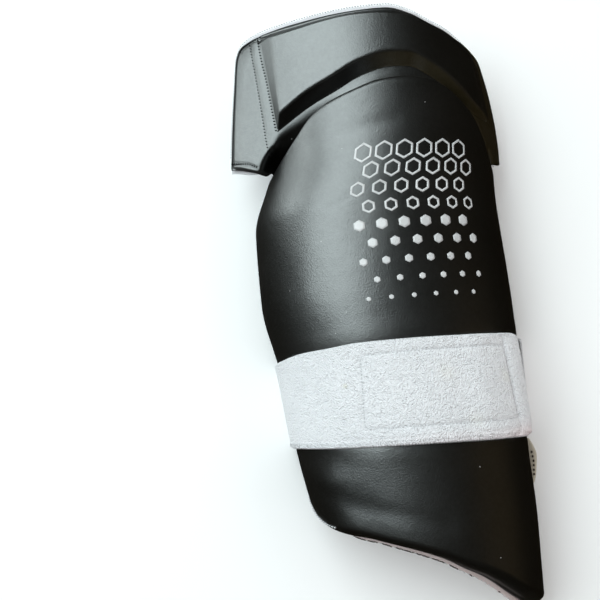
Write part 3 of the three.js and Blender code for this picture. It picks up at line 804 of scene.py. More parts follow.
def build_pad_lining():
    angles = np.linspace(-SIDE_ANGLE, SIDE_ANGLE, 110)
    beside = smooth(78, 94, angles) + smooth(84, 100, -angles)
    hi = upper_edge(angles) - lerp(LAP + 1.5, 0.5, beside)
    lo = lower_edge(angles) - foot_proud(angles) * (1 + 0.16 * ripple(angles / 3.1, angles * 0, 3))
    t = np.concatenate([[0, .004, .012, .025], np.linspace(0.045, 1, 80)])
    y = lerp(lo[:, None], hi[:, None], t[None])
    a = np.repeat(angles[:, None], y.shape[1], 1)
    give = 0.12 * (1 + ripple(a * MM_PER_DEGREE / 17, y / 21, 5)) * smooth(0, 12, y - lo[:, None])
    front = pad_point(a, y, PAD_THICKNESS + GAP * 0.6)
    back = pad_point(a, y, PAD_THICKNESS + GAP * 0.6 + LINING + give)
    points, faces, uvs, marks = shell(front, back, np.stack([a * 1.2, y], -1), 3, 0.4)
    obj = mesh_object("pad_lining_cloth", points, faces, PINK_BOUNCE_CLOTH, uvs, marks)
    settle(obj, "pad_lining")
    return obj


# ---------------------------------------------------------------- hip flap
# lines of sewing on the left wing: (distance round, station)
WING_LINE_A = np.array([(-96.7, 203), (-96.2, 198), (-93, 166.2), (-90.9, 138.8), (-90.1, 124.3), (-89.3, 117.1), (-87.7, 112)])
WING_LINE_B = np.array([(-89.6, 203), (-89.3, 200.3), (-88.5, 191.1), (-87.3, 180.7), (-85.2, 167), (-81.2, 127.7)])
HEM_LINE = np.array([(-121, 112), (-117.7, 111.2), (-112, 110.1), (-105.9, 108.7), (-101.9, 106.4), (-98.6, 104.8)])
FOLD_LINE = np.array([(-70, 134), (-79.6, 125.4), (-83.6, 119.6), (-87.7, 115.7), (-93.4, 109.8), (-99, 103.1), (-103, 98)])
SHADE_LINE = np.array([(-26, 146), (-33.5, 144), (-40.3, 142.4), (-47.3, 139.8), (-53.7, 137.4), (-61.7, 133.8), (-67.5, 131.2), (-72.4, 129.3), (-79.6, 124.6), (-83.6, 119.6), (-87.7, 115.2), (-93.4, 109.2), (-99, 103.1), (-103, 98)])
BORDER_STITCH = 2.4
LINING_SLACK = 1.9

foot_lower = [column(BLOCK_LOWER, k) for k in (1, 2)]
foot_upper = [column(BLOCK_UPPER, k) for k in (1, 2)]
UPPER_FOOT = np.stack([f(np.linspace(0, 1, 90)) for f in foot_upper], -1)


def flap_rulings(count):
    """Seam angles at even steps along the flap's border."""
    a = np.linspace(SEAM_LEFT, SEAM_RIGHT, 4001)
    run = np.concatenate([[0], np.cumsum(np.hypot(np.diff(border_round(a)), np.diff(border_y(a))))])
    even = np.interp(np.linspace(0, run[-1], count), run, a)
    return 0.85 * even + 0.15 * np.linspace(SEAM_LEFT, SEAM_RIGHT, count)


def flap_grid(angles, shares, proud, wobble=0.0, hem_proud=0.0):
    """Distance round and station of the flap's grid, and the distance in from its border."""
    r0 = np.interp(angles, SEAM_ANGLES, SEAM_ROUND)[:, None]
    y0 = upper_edge(angles)[:, None]
    dr, dy = border_round(angles)[:, None] - r0, border_y(angles)[:, None] - y0
    length = np.hypot(dr, dy)
    grow = proud * (1 + wobble * ripple(angles / 1.7, angles * 0, 6)[:, None])
    reach = 1 - (LINING_PROUD - grow + 2.4 * smooth(SEAM_RIGHT - 3.5, SEAM_RIGHT, angles)[:, None] ** 2) / length
    r = r0 + shares * reach * dr
    y = over_edge(r, y0 + shares * reach * dy - hem_bow(angles[:, None], shares, dy))
    y = y - hem_proud * smooth(0.5, 0.8, shares) * smooth(SEAM_LEFT + 3, SEAM_LEFT, angles)[:, None]
    return r, y, (1 - shares) * reach * length


def ditch(r, y):
    """The flap is drawn down along the upper foot of the block."""
    d, _ = to_line(r, y, UPPER_FOOT)
    over = y > np.interp(r, UPPER_FOOT[:, 0], UPPER_FOOT[:, 1])
    return -1.5 * np.where(over, 1 - smooth(0, 3.0, d), 1 - smooth(0, 3.2, d))


def unfold(r, y):
    """How far the left wing, flat up to its fold beside the pad, stands over the plain dip."""
    d, drop, start, width = to_seam(r, y)
    dip = drop * (1 - np.clip((d - start) / (width - start), 0, 1)) ** 2
    off, _ = to_line(r, y, FOLD_LINE)
    off = np.where(from_line(r, y, FOLD_LINE) < 0, off, -off)
    return -dip * smooth(-6.5, 2.5, off) * smooth(-72, -84, r)


def from_line(r, y, line):
    """Signed distance from a line of sewing that runs up the wing."""
    return r - np.interp(y, line[::-1, 1], line[::-1, 0])


def flap_detail(r, y, inside, hem):
    """Grooves, raised bands and puckers of the sewn flap."""
    da, sa = to_line(r, y, WING_LINE_A)
    db, sb = to_line(r, y, WING_LINE_B)
    dh, _ = to_line(r, y, HEM_LINE)
    d = -0.06 * bell(da, 0.8) - 0.06 * bell(db, 0.85)
    within = smooth(0, 3.2, from_line(r, y, WING_LINE_A)) * smooth(0, 3.2, -from_line(r, y, WING_LINE_B)) * smooth(124, 136, y)
    d = d + 0.38 * within
    d = d + 0.05 * np.sin(sa * 2 * math.pi / 3.52) * bell(da - 1.6, 1.4)
    d = d - 0.45 * bell(dh, 0.9) + 0.3 * bell(hem - 1.9, 1.3)
    corner = smooth(-86, -92, r) * smooth(196, 200, y)
    d = d - 0.4 * bell(inside - BORDER_STITCH, 0.7) * corner
    d = d + ditch(r, y)
    d = d + 0.12 * ripple(r / 16, y / 19, 8) * smooth(3, 10, inside)
    return d


def top_set_in(angles):
    """The lining shows wider along the top, where the flap's edge is turned in."""
    return 1.4 * smooth(-64, -56, angles) * (1 - smooth(30, 44, angles))


def build_flap():
    angles = flap_rulings(300)
    shares = np.concatenate([np.linspace(0, 0.30, 34)[:-1], np.linspace(0.30, 0.93, 78)[:-1], 1 - 0.07 * np.linspace(1, 0, 17) ** 1.4])
    r, y, inside = flap_grid(angles, shares[None], -top_set_in(angles)[:, None])
    edge_line = np.stack([r[0], y[0]], -1)
    hem, _ = to_line(r, y, edge_line[::4])
    hem = np.where(r < -40, hem, 99.0)
    drop = np.maximum(1.5 * (1 - roll(inside, 3.0)), 1.0 * (1 - roll(hem, 1.3)))
    drop = drop + 1.5 * np.clip(1 - inside / 14, 0, 1) ** 2 * smooth(-84, -98, r)
    wall = flap_normal(r, y)
    out = flap_detail(r, y, inside, hem)
    d_seam = to_seam(r, y)[0]
    out = out * smooth(1, 8, d_seam) - drop * smooth(0, 6, d_seam)
    base = flap_surface(r, y) + xyz(0, 0, unfold(r, y))
    lap_rows = np.array([LAP, LAP * 0.66, LAP * 0.33])
    lap_a = np.repeat(angles[:, None], 3, 1)
    lap_y = upper_edge(angles)[:, None] - lap_rows[None]
    mean = unit(wall[:, :1] + pad_normal(angles, upper_edge(angles))[:, None])
    blend = smooth(0, 5, d_seam)[..., None]
    wall = unit(mean * (1 - blend) + wall * blend)
    front = np.concatenate([pad_point(lap_a, lap_y, PAD_THICKNESS + SEAM_GAP), base + wall * out[..., None]], 1)
    back = np.concatenate([pad_point(lap_a, lap_y, PAD_THICKNESS + SEAM_GAP + FLANGE), base - wall * (FLANGE - 0.9 * drop)[..., None]], 1)
    uv = np.concatenate([np.stack([lap_a * MM_PER_DEGREE, lap_y], -1), np.stack([r, y], -1)], 1)
    lapped = lambda v: np.concatenate([np.full(lap_a.shape, 50.0), v], 1)
    lost = 50.0 * ((y < 112) | (r > -60))
    # the fold between the wing and the pad lies in the dark
    off, _ = to_line(r, y, SHADE_LINE)
    off = np.where(from_line(r, y, SHADE_LINE) < 0, off, -off)
    shade = (1 - smooth(-4.5, 3.5, off)) * smooth(-27, -40, r)
    shade = np.maximum(shade, smooth(7.0, 3.0, d_seam) * smooth(66, 74, r))
    marks = {
        "edge": bell(lapped(np.minimum(inside, hem)), 1.5),
        "shade": np.concatenate([np.ones(lap_a.shape), shade], 1),
        # painted warm reflection on the right wing beside the seam
        "painted_warm_reflection": np.concatenate([np.zeros(lap_a.shape), 0.75 * smooth(64, 74, r) * smooth(2.0, 6.0, d_seam)], 1),
        "line_a": lapped(from_line(r, y, WING_LINE_A) + lost),
        "line_b": lapped(from_line(r, y, WING_LINE_B) + lost + 50.0 * (y < 127)),
    }
    points, faces, uvs, marks = shell(front, back, uv, 3, 0.7, marks)
    obj = mesh_object("hip_flap", points, faces, FLAP_SKIN, uvs, marks)
    settle(obj, "hip_flange")
    return obj


def build_hip_lining():
    angles = flap_rulings(230)
    shares = np.concatenate([np.linspace(0, 0.30, 16)[:-1], np.linspace(0.30, 0.93, 24)[:-1], 1 - 0.07 * np.linspace(1, 0, 9) ** 1.5])
    r, y, inside = flap_grid(angles, shares[None], LINING_PROUD, 0.14, 2.2)
    y = y + 4.0 * (1 - smooth(0.36, 0.56, shares[None])) * smooth(SEAM_LEFT + 5, SEAM_LEFT, angles)[:, None]
    base = flap_surface(r, y)
    wall = flap_normal(r, y)
    d_seam, _, _, width = to_seam(r, y)
    mean = unit(wall[:, :1] + pad_normal(angles, upper_edge(angles))[:, None])
    blend = smooth(0, 5, d_seam)[..., None]
    wall = unit(mean * (1 - blend) + wall * blend)
    lap_a = np.repeat(angles[:, None], 2, 1)
    lap_y = upper_edge(angles)[:, None] - np.array([LAP, LAP * 0.5])[None]
    inner = FLANGE + 0.25
    inner = inner + LINING_SLACK * smooth(0, 0.3 * width, d_seam) * (1 - smooth(1.1 * width, 2.2 * width, d_seam))
    give = 0.15 * (1 + ripple(r / 15, y / 13, 9)) * smooth(2, 10, inside)
    front = np.concatenate([pad_point(lap_a, lap_y, PAD_THICKNESS + SEAM_GAP + FLANGE + 0.25), base - wall * inner[..., None]], 1)
    back = np.concatenate([pad_point(lap_a, lap_y, PAD_THICKNESS + SEAM_GAP + FLANGE + 0.25 + LINING), base - wall * (inner + LINING + give)[..., None]], 1)
    uv = np.concatenate([np.stack([lap_a * MM_PER_DEGREE, lap_y], -1), np.stack([r, y], -1)], 1)
    points, faces, uvs, marks = shell(front, back, uv, 3, 0.4)
    obj = mesh_object("hip_lining_cloth", points, faces, LINING_CLOTH, uvs, marks)
    settle(obj, "hip_lining")
    return obj


block_height, block_bevel = column(BLOCK_TOP, 1), column(BLOCK_TOP, 2)


def build_block():
    share = np.concatenate([[0, .0012], np.linspace(0.004, 0.996, 220), [.9988, 1]])[:, None]
    t = np.concatenate([[0, .003], np.linspace(0.010, 0.990, 100), [.997, 1]])[None]
    r0, y0, r1, y1 = foot_lower[0](share), foot_lower[1](share), foot_upper[0](share), foot_upper[1](share)
    length = np.hypot(r1 - r0, y1 - y0)
    r, y = lerp(r0, r1, t), lerp(y0, y1, t)
    k = 0.5
    high = block_height(share) + 0 * r
    low_end, top_end = (np.array([float(f(0.0)) for f in foot]) for foot in (foot_lower, foot_upper))
    up = unit(top_end - low_end)
    from_left = np.maximum(0, (r - low_end[0]) * up[1] - (y - low_end[1]) * up[0])
    rise = [
        high,
        from_left * high / lerp(6.2, 10.7, t),
        (1 - share) * BLOCK_SPAN * high / BEVEL_RIGHT,
        t * length * high / block_bevel(share),
        (1 - t) * length * high / BEVEL_UPPER,
    ]
    height = -k * np.log(sum(np.exp(-h / k) for h in rise))
    foot = np.minimum(np.minimum(share * BLOCK_SPAN, (1 - share) * BLOCK_SPAN), np.minimum(t, 1 - t) * length)
    height = np.maximum(height, 0.35) + 0.10 * ripple(r / 21, y / 17, 11) * smooth(2, 9, foot)
    # painted highlight: the skin is made paler along the top face's edge
    painted_top_highlight = bell(height - (high - 0.55), 0.35)
    below = smooth(1.0, 0.8, t * length / block_bevel(share)) * smooth(-0.5, 0.5, rise[1] - rise[3])
    shade = 0.95 * below * (1 - smooth(0.34, 0.54, share))
    base = ditch(r, y)
    front = flap_point(r, y, base + 0.12 + height)
    back = flap_point(r, y, base + 0.10)
    uv = np.stack([r, y], -1)
    # painted warm reflection on the right part of the lower bevel
    points, faces, uvs, marks = shell(front, back, uv, 1, 0.25, {"edge": 0.25 * painted_top_highlight, "shade": shade, "painted_warm_reflection": below * smooth(0.40, 0.56, share)})
    obj = mesh_object("hip_block_foam", points, faces, BLOCK_SKIN, uvs, marks)
    settle(obj, "hip_block")
    return obj


# ---------------------------------------------------------------- strap
# corners of the stitched box near the strap's end: millimetres from the end, millimetres across
BOX = np.array([(20.5, 11.6), (135, 11.2), (125.5, 60), (21, 61)])
BOX_ROUND = 3.2


def rounded(corners, radius, steps=6):
    """A closed line through corners, each rounded."""
    line = []
    for k, c in enumerate(corners):
        a = c + unit(corners[k - 1] - c) * radius
        b = c + unit(corners[(k + 1) % len(corners)] - c) * radius
        for t in np.linspace(0, 1, steps):
            line.append((1 - t) ** 2 * a + 2 * t * (1 - t) * c + t ** 2 * b)
    return np.array(line + line[:1])


def over_patch(angle):
    return STRAP_GAP + (PATCH_THICKNESS + GAP) * smooth(PATCH_FROM - 16, PATCH_FROM - 2, angle)


def strap_line(share):
    """Middle of the strap's thickness and its outward direction, for shares across it."""
    share = np.asarray(share, float)
    rows_p, rows_n = [], []

    def y_at(angle):
        return lerp(strap_lower(angle), strap_upper(angle), share)

    def on_pad(angle, gap):
        angle = np.asarray(angle, float) + 0 * share
        y = y_at(angle)
        rows_p.append(pad_front(angle, y, gap + STRAP_THICKNESS / 2))
        rows_n.append(pad_normal(angle, y))

    end = lerp(STRAP_END_LOWER, STRAP_END_UPPER, share)
    low, high = np.clip(1 - share / 0.12, 0, 1), np.clip(1 - (1 - share) / 0.07, 0, 1)
    end = end - 7.0 * (1 - np.sqrt(1 - low ** 2)) - 3.6 * (1 - np.sqrt(1 - high ** 2))
    for s in np.linspace(0, 1, 46)[:-1]:
        a = lerp(end, 50.0, s)
        on_pad(a, over_patch(a))
    for a in np.arange(50, -90.01, -0.4375):
        on_pad(a, over_patch(a))

    def turn(side):
        y = y_at(90.0 * side)
        inner = pad_front(90.0 * side + 0 * share, y, STRAP_GAP)[..., 0]
        middle = inner - side * STRAP_TURN
        def at(deg):
            n = np.array([side * math.cos(math.radians(deg)), 0, -math.sin(math.radians(deg))])
            p = xyz(middle, y, STRAP_TURN + STRAP_THICKNESS) + n * (STRAP_TURN + STRAP_THICKNESS / 2)
            return p, np.repeat(n[None], len(share), 0)
        return at

    left, right = turn(-1), turn(1)
    p0, n0 = rows_p[-1], rows_n[-1]
    p1, n1 = left(0)
    for s in np.linspace(0, 1, 8)[1:-1]:
        rows_p.append(lerp(p0, p1, s))
        rows_n.append(unit(lerp(n0, n1, s)))
    for deg in np.linspace(0, 90, 13):
        p, n = left(deg)
        rows_p.append(p)
        rows_n.append(n)
    p0, p1 = rows_p[-1], right(90)[0]
    for s in np.linspace(0, 1, 66)[1:-1]:
        rows_p.append(lerp(p0, p1, s))
        rows_n.append(rows_n[-1] * 0 + np.array([0, 0, -1.0]))
    for deg in np.linspace(90, 0, 13):
        p, n = right(deg)
        rows_p.append(p)
        rows_n.append(n)
    start = len(rows_p)
    on_pad(90.0, STRAP_GAP)
    p1, n1 = rows_p.pop(), rows_n.pop()
    p0, n0 = rows_p[-1], rows_n[-1]
    for s in np.linspace(0, 1, 7)[1:]:
        rows_p.append(lerp(p0, p1, s))
        rows_n.append(unit(lerp(n0, n1, s)))
    for a in np.linspace(90, STRAP_START, 7)[1:]:
        on_pad(a, STRAP_GAP)
    return np.stack(rows_p), np.stack(rows_n)


def build_strap():
    across = np.linspace(0, 1, 104)
    p, n = strap_line(across)
    rows = p.shape[0]
    run = np.concatenate([np.zeros((1, len(across))), np.cumsum(np.linalg.norm(np.diff(p, axis=0), axis=2), 0)])
    width = 68.0
    b = np.repeat(across[None] * width, rows, 0)
    line = rounded(BOX, BOX_ROUND)
    box, _ = to_line(run, b, line)
    faint = 1 - 0.45 * smooth(112, 126, run)
    groove = bell(box, 0.95) * faint
    soft = bell(box, 2.8) * faint
    nubs = 0.17 * ripple(run / 1.2, b / 1.2, 12) + 0.08 * ripple(run / 2.4, b / 2.2, 13)
    waves = 0.2 * ripple(run / 19, b / 15, 14)
    hem = 2.0 * np.maximum(0, 1 - ((run - 10.2) / 10.2) ** 2) - 0.5 * bell(run - 20.8, 1.2)
    plain = smooth(64.5, 66.5, b)
    rise = nubs * (1 - 0.6 * groove) * (1 - 0.7 * plain) + waves - 0.6 * groove - 0.3 * soft + hem + 0.35
    ribs = np.sin(run * 2 * math.pi / 2.0)
    rise = rise + 0.45 * ribs * smooth(4.2, 2.4, b) - 0.3 * bell(b - 4.4, 0.8) + 0.12 * ribs * plain
    tip = roll(run, 2.4)
    floor_part = np.abs(n[..., 2] + 1) < 0.02
    rise = np.where(floor_part, 0.0, rise)
    outer = p + n * (STRAP_THICKNESS / 2 * tip + rise * tip)[..., None]
    outer[..., 2] = np.maximum(outer[..., 2], 0.0)
    back_across = np.linspace(1, 0, 9)
    bp, bn = strap_line(back_across)
    b_tip = roll(np.concatenate([np.zeros((1, 9)), np.cumsum(np.linalg.norm(np.diff(bp, axis=0), axis=2), 0)]), 2.4)
    inner = bp - bn * (STRAP_THICKNESS / 2 * b_tip * 0.98)[..., None]
    # rounded long edges
    upper_mid = (outer[:, -1] + inner[:, 0]) / 2 + np.array([0, 0.9, 0])
    lower_mid = (outer[:, 0] + inner[:, -1]) / 2 - np.array([0, 0.9, 0]) - np.array([0, 1.0, 0]) * (0.35 * ribs[:, 0])[:, None]
    loops = np.concatenate([outer, upper_mid[:, None], inner, lower_mid[:, None]], 1)
    count = loops.shape[1]
    flat_b = np.concatenate([across, [1.01], back_across, [-0.01]]) * width
    uv = np.stack([np.repeat(run[:, 30:31], count, 1), np.repeat(flat_b[None], rows, 0)], -1)
    pad = lambda v: np.concatenate([v, np.zeros((rows, count - len(across)))], 1)
    # painted pink bounce light along the lower edge and near the end
    painted_pink_bounce = 0.18 * smooth(9, 0, b) * smooth(150, 60, run) + 0.30 * smooth(16, 0, b) * smooth(46, 4, run)
    stain = 0.6 * bell(np.hypot(run - 141, b - 41.5), 1.6)
    for at, size, weight in (((72, 45), 5.0, 0.22), ((26, 40), 4.5, 0.25), ((60, 13), 5.0, 0.2)):
        stain = stain + weight * bell(np.hypot(run - at[0], b - at[1]), size)
    # the groove mark paints shade in the sewn grooves
    points, faces, uvs, marks = tube(loops, uv, {"groove": pad(np.maximum(groove, 0.9 * bell(run - 20.8, 1.1))), "painted_pink_bounce": pad(painted_pink_bounce), "stain": pad(stain)})
    obj = mesh_object("strap_terry", points, faces, TERRY, uvs, marks)
    settle(obj, "strap")
    # thread in the box's groove
    pace = np.concatenate([[0], np.cumsum(np.hypot(*np.diff(line, axis=0).T))])
    at = np.arange(0.7, pace[-1], 0.5)
    path, facing = [], []
    for u, v in zip(np.interp(at, pace, line[:, 0]), np.interp(at, pace, line[:, 1])):
        j = int(round(v / width * (len(across) - 1)))
        path.append([np.interp(u, run[:, j], outer[:, j, k]) for k in range(3)])
        facing.append([np.interp(u, run[:, j], n[:, j, k]) for k in range(3)])
    path, facing = np.array(path), unit(np.array(facing))
    kernel = np.ones(9) / 9
    path = np.stack([np.convolve(np.pad(path[:, k], 4, mode="edge"), kernel, "valid") for k in range(3)], -1)
    middles, directions, where = along_path(path, 2.4)
    space = np.concatenate([[0], np.cumsum(np.linalg.norm(np.diff(path, axis=0), axis=1))])
    sewn = [(m + f * 0.05, d, f, 1.7) for m, d, f in zip(
        middles, directions, (unit(np.array([np.interp(q, space, facing[:, k]) for k in range(3)])) for q in where))]
    points, faces = stitch_mesh(sewn, 0.27)
    settle(mesh_object("thread_strap", points, faces, WHITE_THREAD))
    return obj, float(run[-1].mean())


def build_patch():
    angles = np.linspace(PATCH_FROM, PATCH_TO, 46)[:, None]
    t = np.linspace(0, 1, 40)[None]
    lo, hi = strap_lower(angles) + PATCH_INSET, strap_upper(angles) - PATCH_INSET
    y = lerp(lo, hi, t)
    a = np.repeat(angles, 40, 1)
    nub = 0.12 * ripple(a * 1.4 / 1.1, y / 1.1, 15)
    front = pad_front(a, y, GAP + PATCH_THICKNESS - 0.15 + nub)
    back = pad_front(a, y, GAP * 0.5)
    points, faces, uvs, marks = shell(front, back, np.stack([a * 1.4, y], -1), 1, 0.3)
    obj = mesh_object("fastener_hook", points, faces, HOOK, uvs, marks)
    settle(obj, "fastener_patch")
    return obj


# share across the tab, reach of its free end
TAB_OUTLINE = np.array([(-0.5, 102.2), (-0.44, 104.6), (-0.36, 106.0), (-0.1, 108.0), (0.16, 109.2), (0.34, 107.6), (0.5, 105.0)])


def build_tab():
    n, w = 60, 26
    t = np.linspace(0, 1, n)[:, None]
    s = np.linspace(-0.5, 0.5, w)[None]
    # the free end is cut slantwise at its upper corner and round at its lower one
    outline = column(TAB_OUTLINE, 1)(s) - 0.8
    x = TAB_INNER + t * (lerp(TAB_OUTER - 0.8, outline, smooth(0.4, 1, t)) - TAB_INNER)
    y = TAB_Y + s * TAB_WIDTH + 0 * t
    rise = TAB_CURL * smooth(0.72, 1, t)
    nose = roll((1 - t) * (TAB_OUTER - TAB_INNER), 1.4)
    ribs = 0.07 * np.cos(s * TAB_WIDTH * 2 * math.pi / 1.75)
    mid = TAB_LAYER + rise
    top = xyz(x, y, mid + TAB_LAYER * nose + ribs * nose)
    low = xyz(x, y, np.maximum(0, mid - TAB_LAYER * nose))
    points, faces, uvs, marks = shell(top, low, np.stack([x, y], -1), 3, 0.35)
    obj = mesh_object("webbing_loop", points, faces, WEBBING, uvs, marks)
    settle(obj, "webbing_tab")
    return obj


# ---------------------------------------------------------------- stitches
def flap_stitches(line, spacing, length, sink):
    line = np.asarray(line, float)
    run = np.concatenate([[0], np.cumsum(np.hypot(*np.diff(line, axis=0).T))])
    s = np.linspace(0, run[-1], int(run[-1] * 2))
    r, y = np.interp(s, run, line[:, 0]), np.interp(s, run, line[:, 1])
    path = flap_point(r, y, -sink + 0 * r) + xyz(0, 0, unfold(r, y))
    normals = flap_normal(r, y)
    middles, directions, at = along_path(path, spacing)
    rows = []
    path_run = np.concatenate([[0], np.cumsum(np.linalg.norm(np.diff(path, axis=0), axis=1))])
    for m, d, q in zip(middles, directions, at):
        n = unit(np.array([np.interp(q, path_run, normals[:, k]) for k in range(3)]))
        rows.append((m, d, n, length))
    return rows


def build_stitches():
    made = []
    rows = flap_stitches(WING_LINE_A[1:], 2.3, 0.7, -0.15)
    angles = flap_rulings(320)
    # along the upper left corner of the flap, and along the free hem of its left wing
    reach = np.hypot(border_round(angles) - np.interp(angles, SEAM_ANGLES, SEAM_ROUND), border_y(angles) - upper_edge(angles))
    r, y, _ = flap_grid(angles, 1 - BORDER_STITCH / reach[:, None], 0.0)
    keep = (r[:, 0] > -105) & (r[:, 0] < -86) & (y[:, 0] > 190)
    rows += flap_stitches(np.stack([r[keep, 0], y[keep, 0]], -1), 1.9, 1.4, 0.15)
    rows += flap_stitches(HEM_LINE, 1.9, 1.4, 0.25)
    points, faces = stitch_mesh(rows, 0.5)
    made.append(settle(mesh_object("thread_black", points, faces, BLACK_THREAD)))
    points, faces = stitch_mesh(flap_stitches(WING_LINE_B[1:], 2.3, 0.75, -0.15), 0.65)
    made.append(settle(mesh_object("thread_wing", points, faces, BLACK_THREAD)))

    # overlock on the lining's edges
    rows = []
    r, y, _ = flap_grid(angles, np.array([[1 + 0.4 / 100]]), LINING_PROUD)
    line = np.stack([r[6:-6, 0], y[6:-6, 0]], -1)
    for m, d, n, size in flap_stitches(line, 2.0, 1.3, FLANGE + 0.2):
        side = np.cross(d, n)
        rows.append((m - side * 0.5, unit(d + 0.35 * side), n, size))
    points, faces = stitch_mesh(rows, 0.27)
    made.append(settle(mesh_object("thread_border", points, faces, GREY_THREAD)))
    dark, pale = [], []
    a = np.linspace(-84, 84, 600)
    edge = pad_point(a, lower_edge(a) - foot_proud(a), PAD_THICKNESS + GAP * 0.6)
    middles, directions, at = along_path(edge, 1.75)
    for k, (m, d, q) in enumerate(zip(middles, directions, at)):
        ang = np.interp(q, np.linspace(0, at[-1], len(a)), a)
        n = pad_normal(ang, lower_edge(ang))
        out = np.cross(d, n)
        out = out if out[1] < 0 else -out
        row = (m + out * 0.3, unit(d + (0.1 + 0.35 * math.sin(k * 2.3)) * out), n, 2.0 + 0.5 * math.sin(k * 1.7))
        if math.sin(k * 0.9) + 0.7 * math.sin(k * 2.1) > (-0.6 if ang < 8 else 1.3):
            dark.append(row)
        elif k % 2:
            pale.append(row)
    whip = []
    a = np.linspace(-97, -54, 200)
    y = lower_edge(a) + 7.0
    middles, directions, at = along_path(pad_front(a, y, 0.2 + pad_detail(a, y)), 3.1)
    for k, (m, d, q) in enumerate(zip(middles, directions, at)):
        ang = np.interp(q, np.linspace(0, at[-1], len(a)), a)
        n = unit(pad_normal(ang, lower_edge(ang)) + np.array([0, -1.0, 0]))
        whip.append((m, d, n, 1.7 + 0.4 * math.sin(k * 1.9)))
    points, faces = stitch_mesh(whip, 0.55)
    made.append(settle(mesh_object("thread_whip", points, faces, WHITE_THREAD)))
    points, faces = stitch_mesh(dark, 0.4)
    made.append(settle(mesh_object("thread_foot", points, faces, BROWN_THREAD)))
    points, faces = stitch_mesh(pale, 0.26)
    made.append(settle(mesh_object("thread_foot_pale", points, faces, WHITE_THREAD)))
    # sewing on the webbing tab
    rows = []
    for k in range(6):
        x, y = 105.4 - 0.25 * abs(k - 3), TAB_Y - 9 + k * 3.3
        z = 2 * TAB_LAYER + TAB_CURL * float(smooth(0.72, 1, (x - TAB_INNER) / (TAB_OUTER - TAB_INNER))) + 0.05
        rows.append((np.array([x, y, z]), np.array([0.0, 1.0, 0.0]), unit(np.array([-0.2, 0, 1.0])), 1.9))
    points, faces = stitch_mesh(rows, 0.6)
    made.append(settle(mesh_object("thread_tab", points, faces, BROWN_THREAD)))
    return made


# ---------------------------------------------------------------- print
def build_print():
    """A fading field of hexagons, printed in silver."""
    pitch = 14.5
    points, faces = [], []

    def patch(centre_a, centre_y, outer, inner):
        base = sum(len(p) for p in points)
        per = 4
        ring = []
        for k in range(6):
            for j in range(per):
                t0, t1 = math.radians(60 * k + 30), math.radians(60 * k + 90)
                ring.append((lerp(math.cos(t0), math.cos(t1), j / per), lerp(math.sin(t0), math.sin(t1), j / per)))
        ring = np.array(ring)
        n = len(ring)
        sizes = [outer, inner] if inner > 0 else [outer, 0.55 * outer, 0.02 * outer]
        for out in (0.09, -0.05):
            for size in sizes:
                a = (centre_a + ring[:, 0] * size) / MM_PER_DEGREE / 1.1
                y = centre_y + ring[:, 1] * size
                points.append(pad_front(a, y, pad_detail(a, y) + out))
        m = len(sizes)
        level = lambda i, k: base + i * n + k % n
        for k in range(n):
            for i in range(m - 1):
                faces.append((level(i, k), level(i, k + 1), level(i + 1, k + 1), level(i + 1, k)))
                faces.append((level(m + i, k), level(m + i + 1, k), level(m + i + 1, k + 1), level(m + i, k + 1)))
            faces.append((level(0, k), level(m, k), level(m, k + 1), level(0, k + 1)))
            if inner > 0:
                faces.append((level(m - 1, k), level(m - 1, k + 1), level(2 * m - 1, k + 1), level(2 * m - 1, k)))
        if inner <= 0:
            faces.append(tuple(level(m - 1, k) for k in range(n)))
            faces.append(tuple(level(2 * m - 1, k) for k in reversed(range(n))))

    for row in range(9):
        y = 96 - row * pitch * 0.866
        for col in range(6):
            a = -17 + (col + 0.5 * (row % 2)) * pitch
            size = lerp(7.0, 1.7, (row / 8) ** 0.9)
            patch(a, y, size, size - 1.7 if size > 4.6 else 0)
    obj = mesh_object("print_hexagons", np.concatenate(points), faces, SILVER, smooth_faces=True)
    return settle(obj)


pad = build_main_pad()
pad_lining = build_pad_lining()
flap = build_flap()
hip_lining = build_hip_lining()
block = build_block()
strap, strap_length = build_strap()
patch = build_patch()
tab = build_tab()
stitches = build_stitches()
build_print()


# ---------------------------------------------------------------- scene
scene = bpy.context.scene
scene.view_settings.view_transform = "Standard"
scene.view_settings.look = "None"

# plain pale floor
floor_mesh = bpy.data.meshes.new("floor")
floor_mesh.from_pydata([(-4, -4, 0), (4, -4, 0), (4, 4, 0), (-4, 4, 0)], [], [(0, 1, 2, 3)])
floor = bpy.data.objects.new("floor", floor_mesh)
floor.location.z = -0.0004
scene.collection.objects.link(floor)
floor_material, floor_tree, floor_shader = material("floor")
floor_graph = Graph(floor_tree)
floor_graph.link(floor_graph.ramp(floor_graph.noise(2.0, 2), [(0.3, (0.93, 0.93, 0.93)), (0.7, (0.95, 0.95, 0.95))]), floor_shader.inputs["Base Color"])
floor_shader.inputs["Roughness"].default_value = 0.9
floor_shader.inputs["Specular IOR Level"].default_value = 0.1
floor_mesh.materials.append(floor_material)
floor.visible_glossy = False

# soft light: the room is pale to the eye, and dim and warm in reflections
world = bpy.data.worlds.new("studio")
world.use_nodes = True
world_tree = world.node_tree
dim = world_tree.nodes["Background"]
dim.inputs["Color"].default_value = (1.0, 0.76, 0.42, 1)
dim.inputs["Strength"].default_value = 0.010
pale = world_tree.nodes.new("ShaderNodeBackground")
pale.inputs["Color"].default_value = (0.93, 0.93, 0.93, 1)
seen = world_tree.nodes.new("ShaderNodeLightPath")
either = world_tree.nodes.new("ShaderNodeMixShader")
world_tree.links.new(seen.outputs["Is Camera Ray"], either.inputs[0])
world_tree.links.new(dim.outputs[0], either.inputs[1])
world_tree.links.new(pale.outputs[0], either.inputs[2])
world_tree.links.new(either.outputs[0], world_tree.nodes["World Output"].inputs["Surface"])
scene.world = world


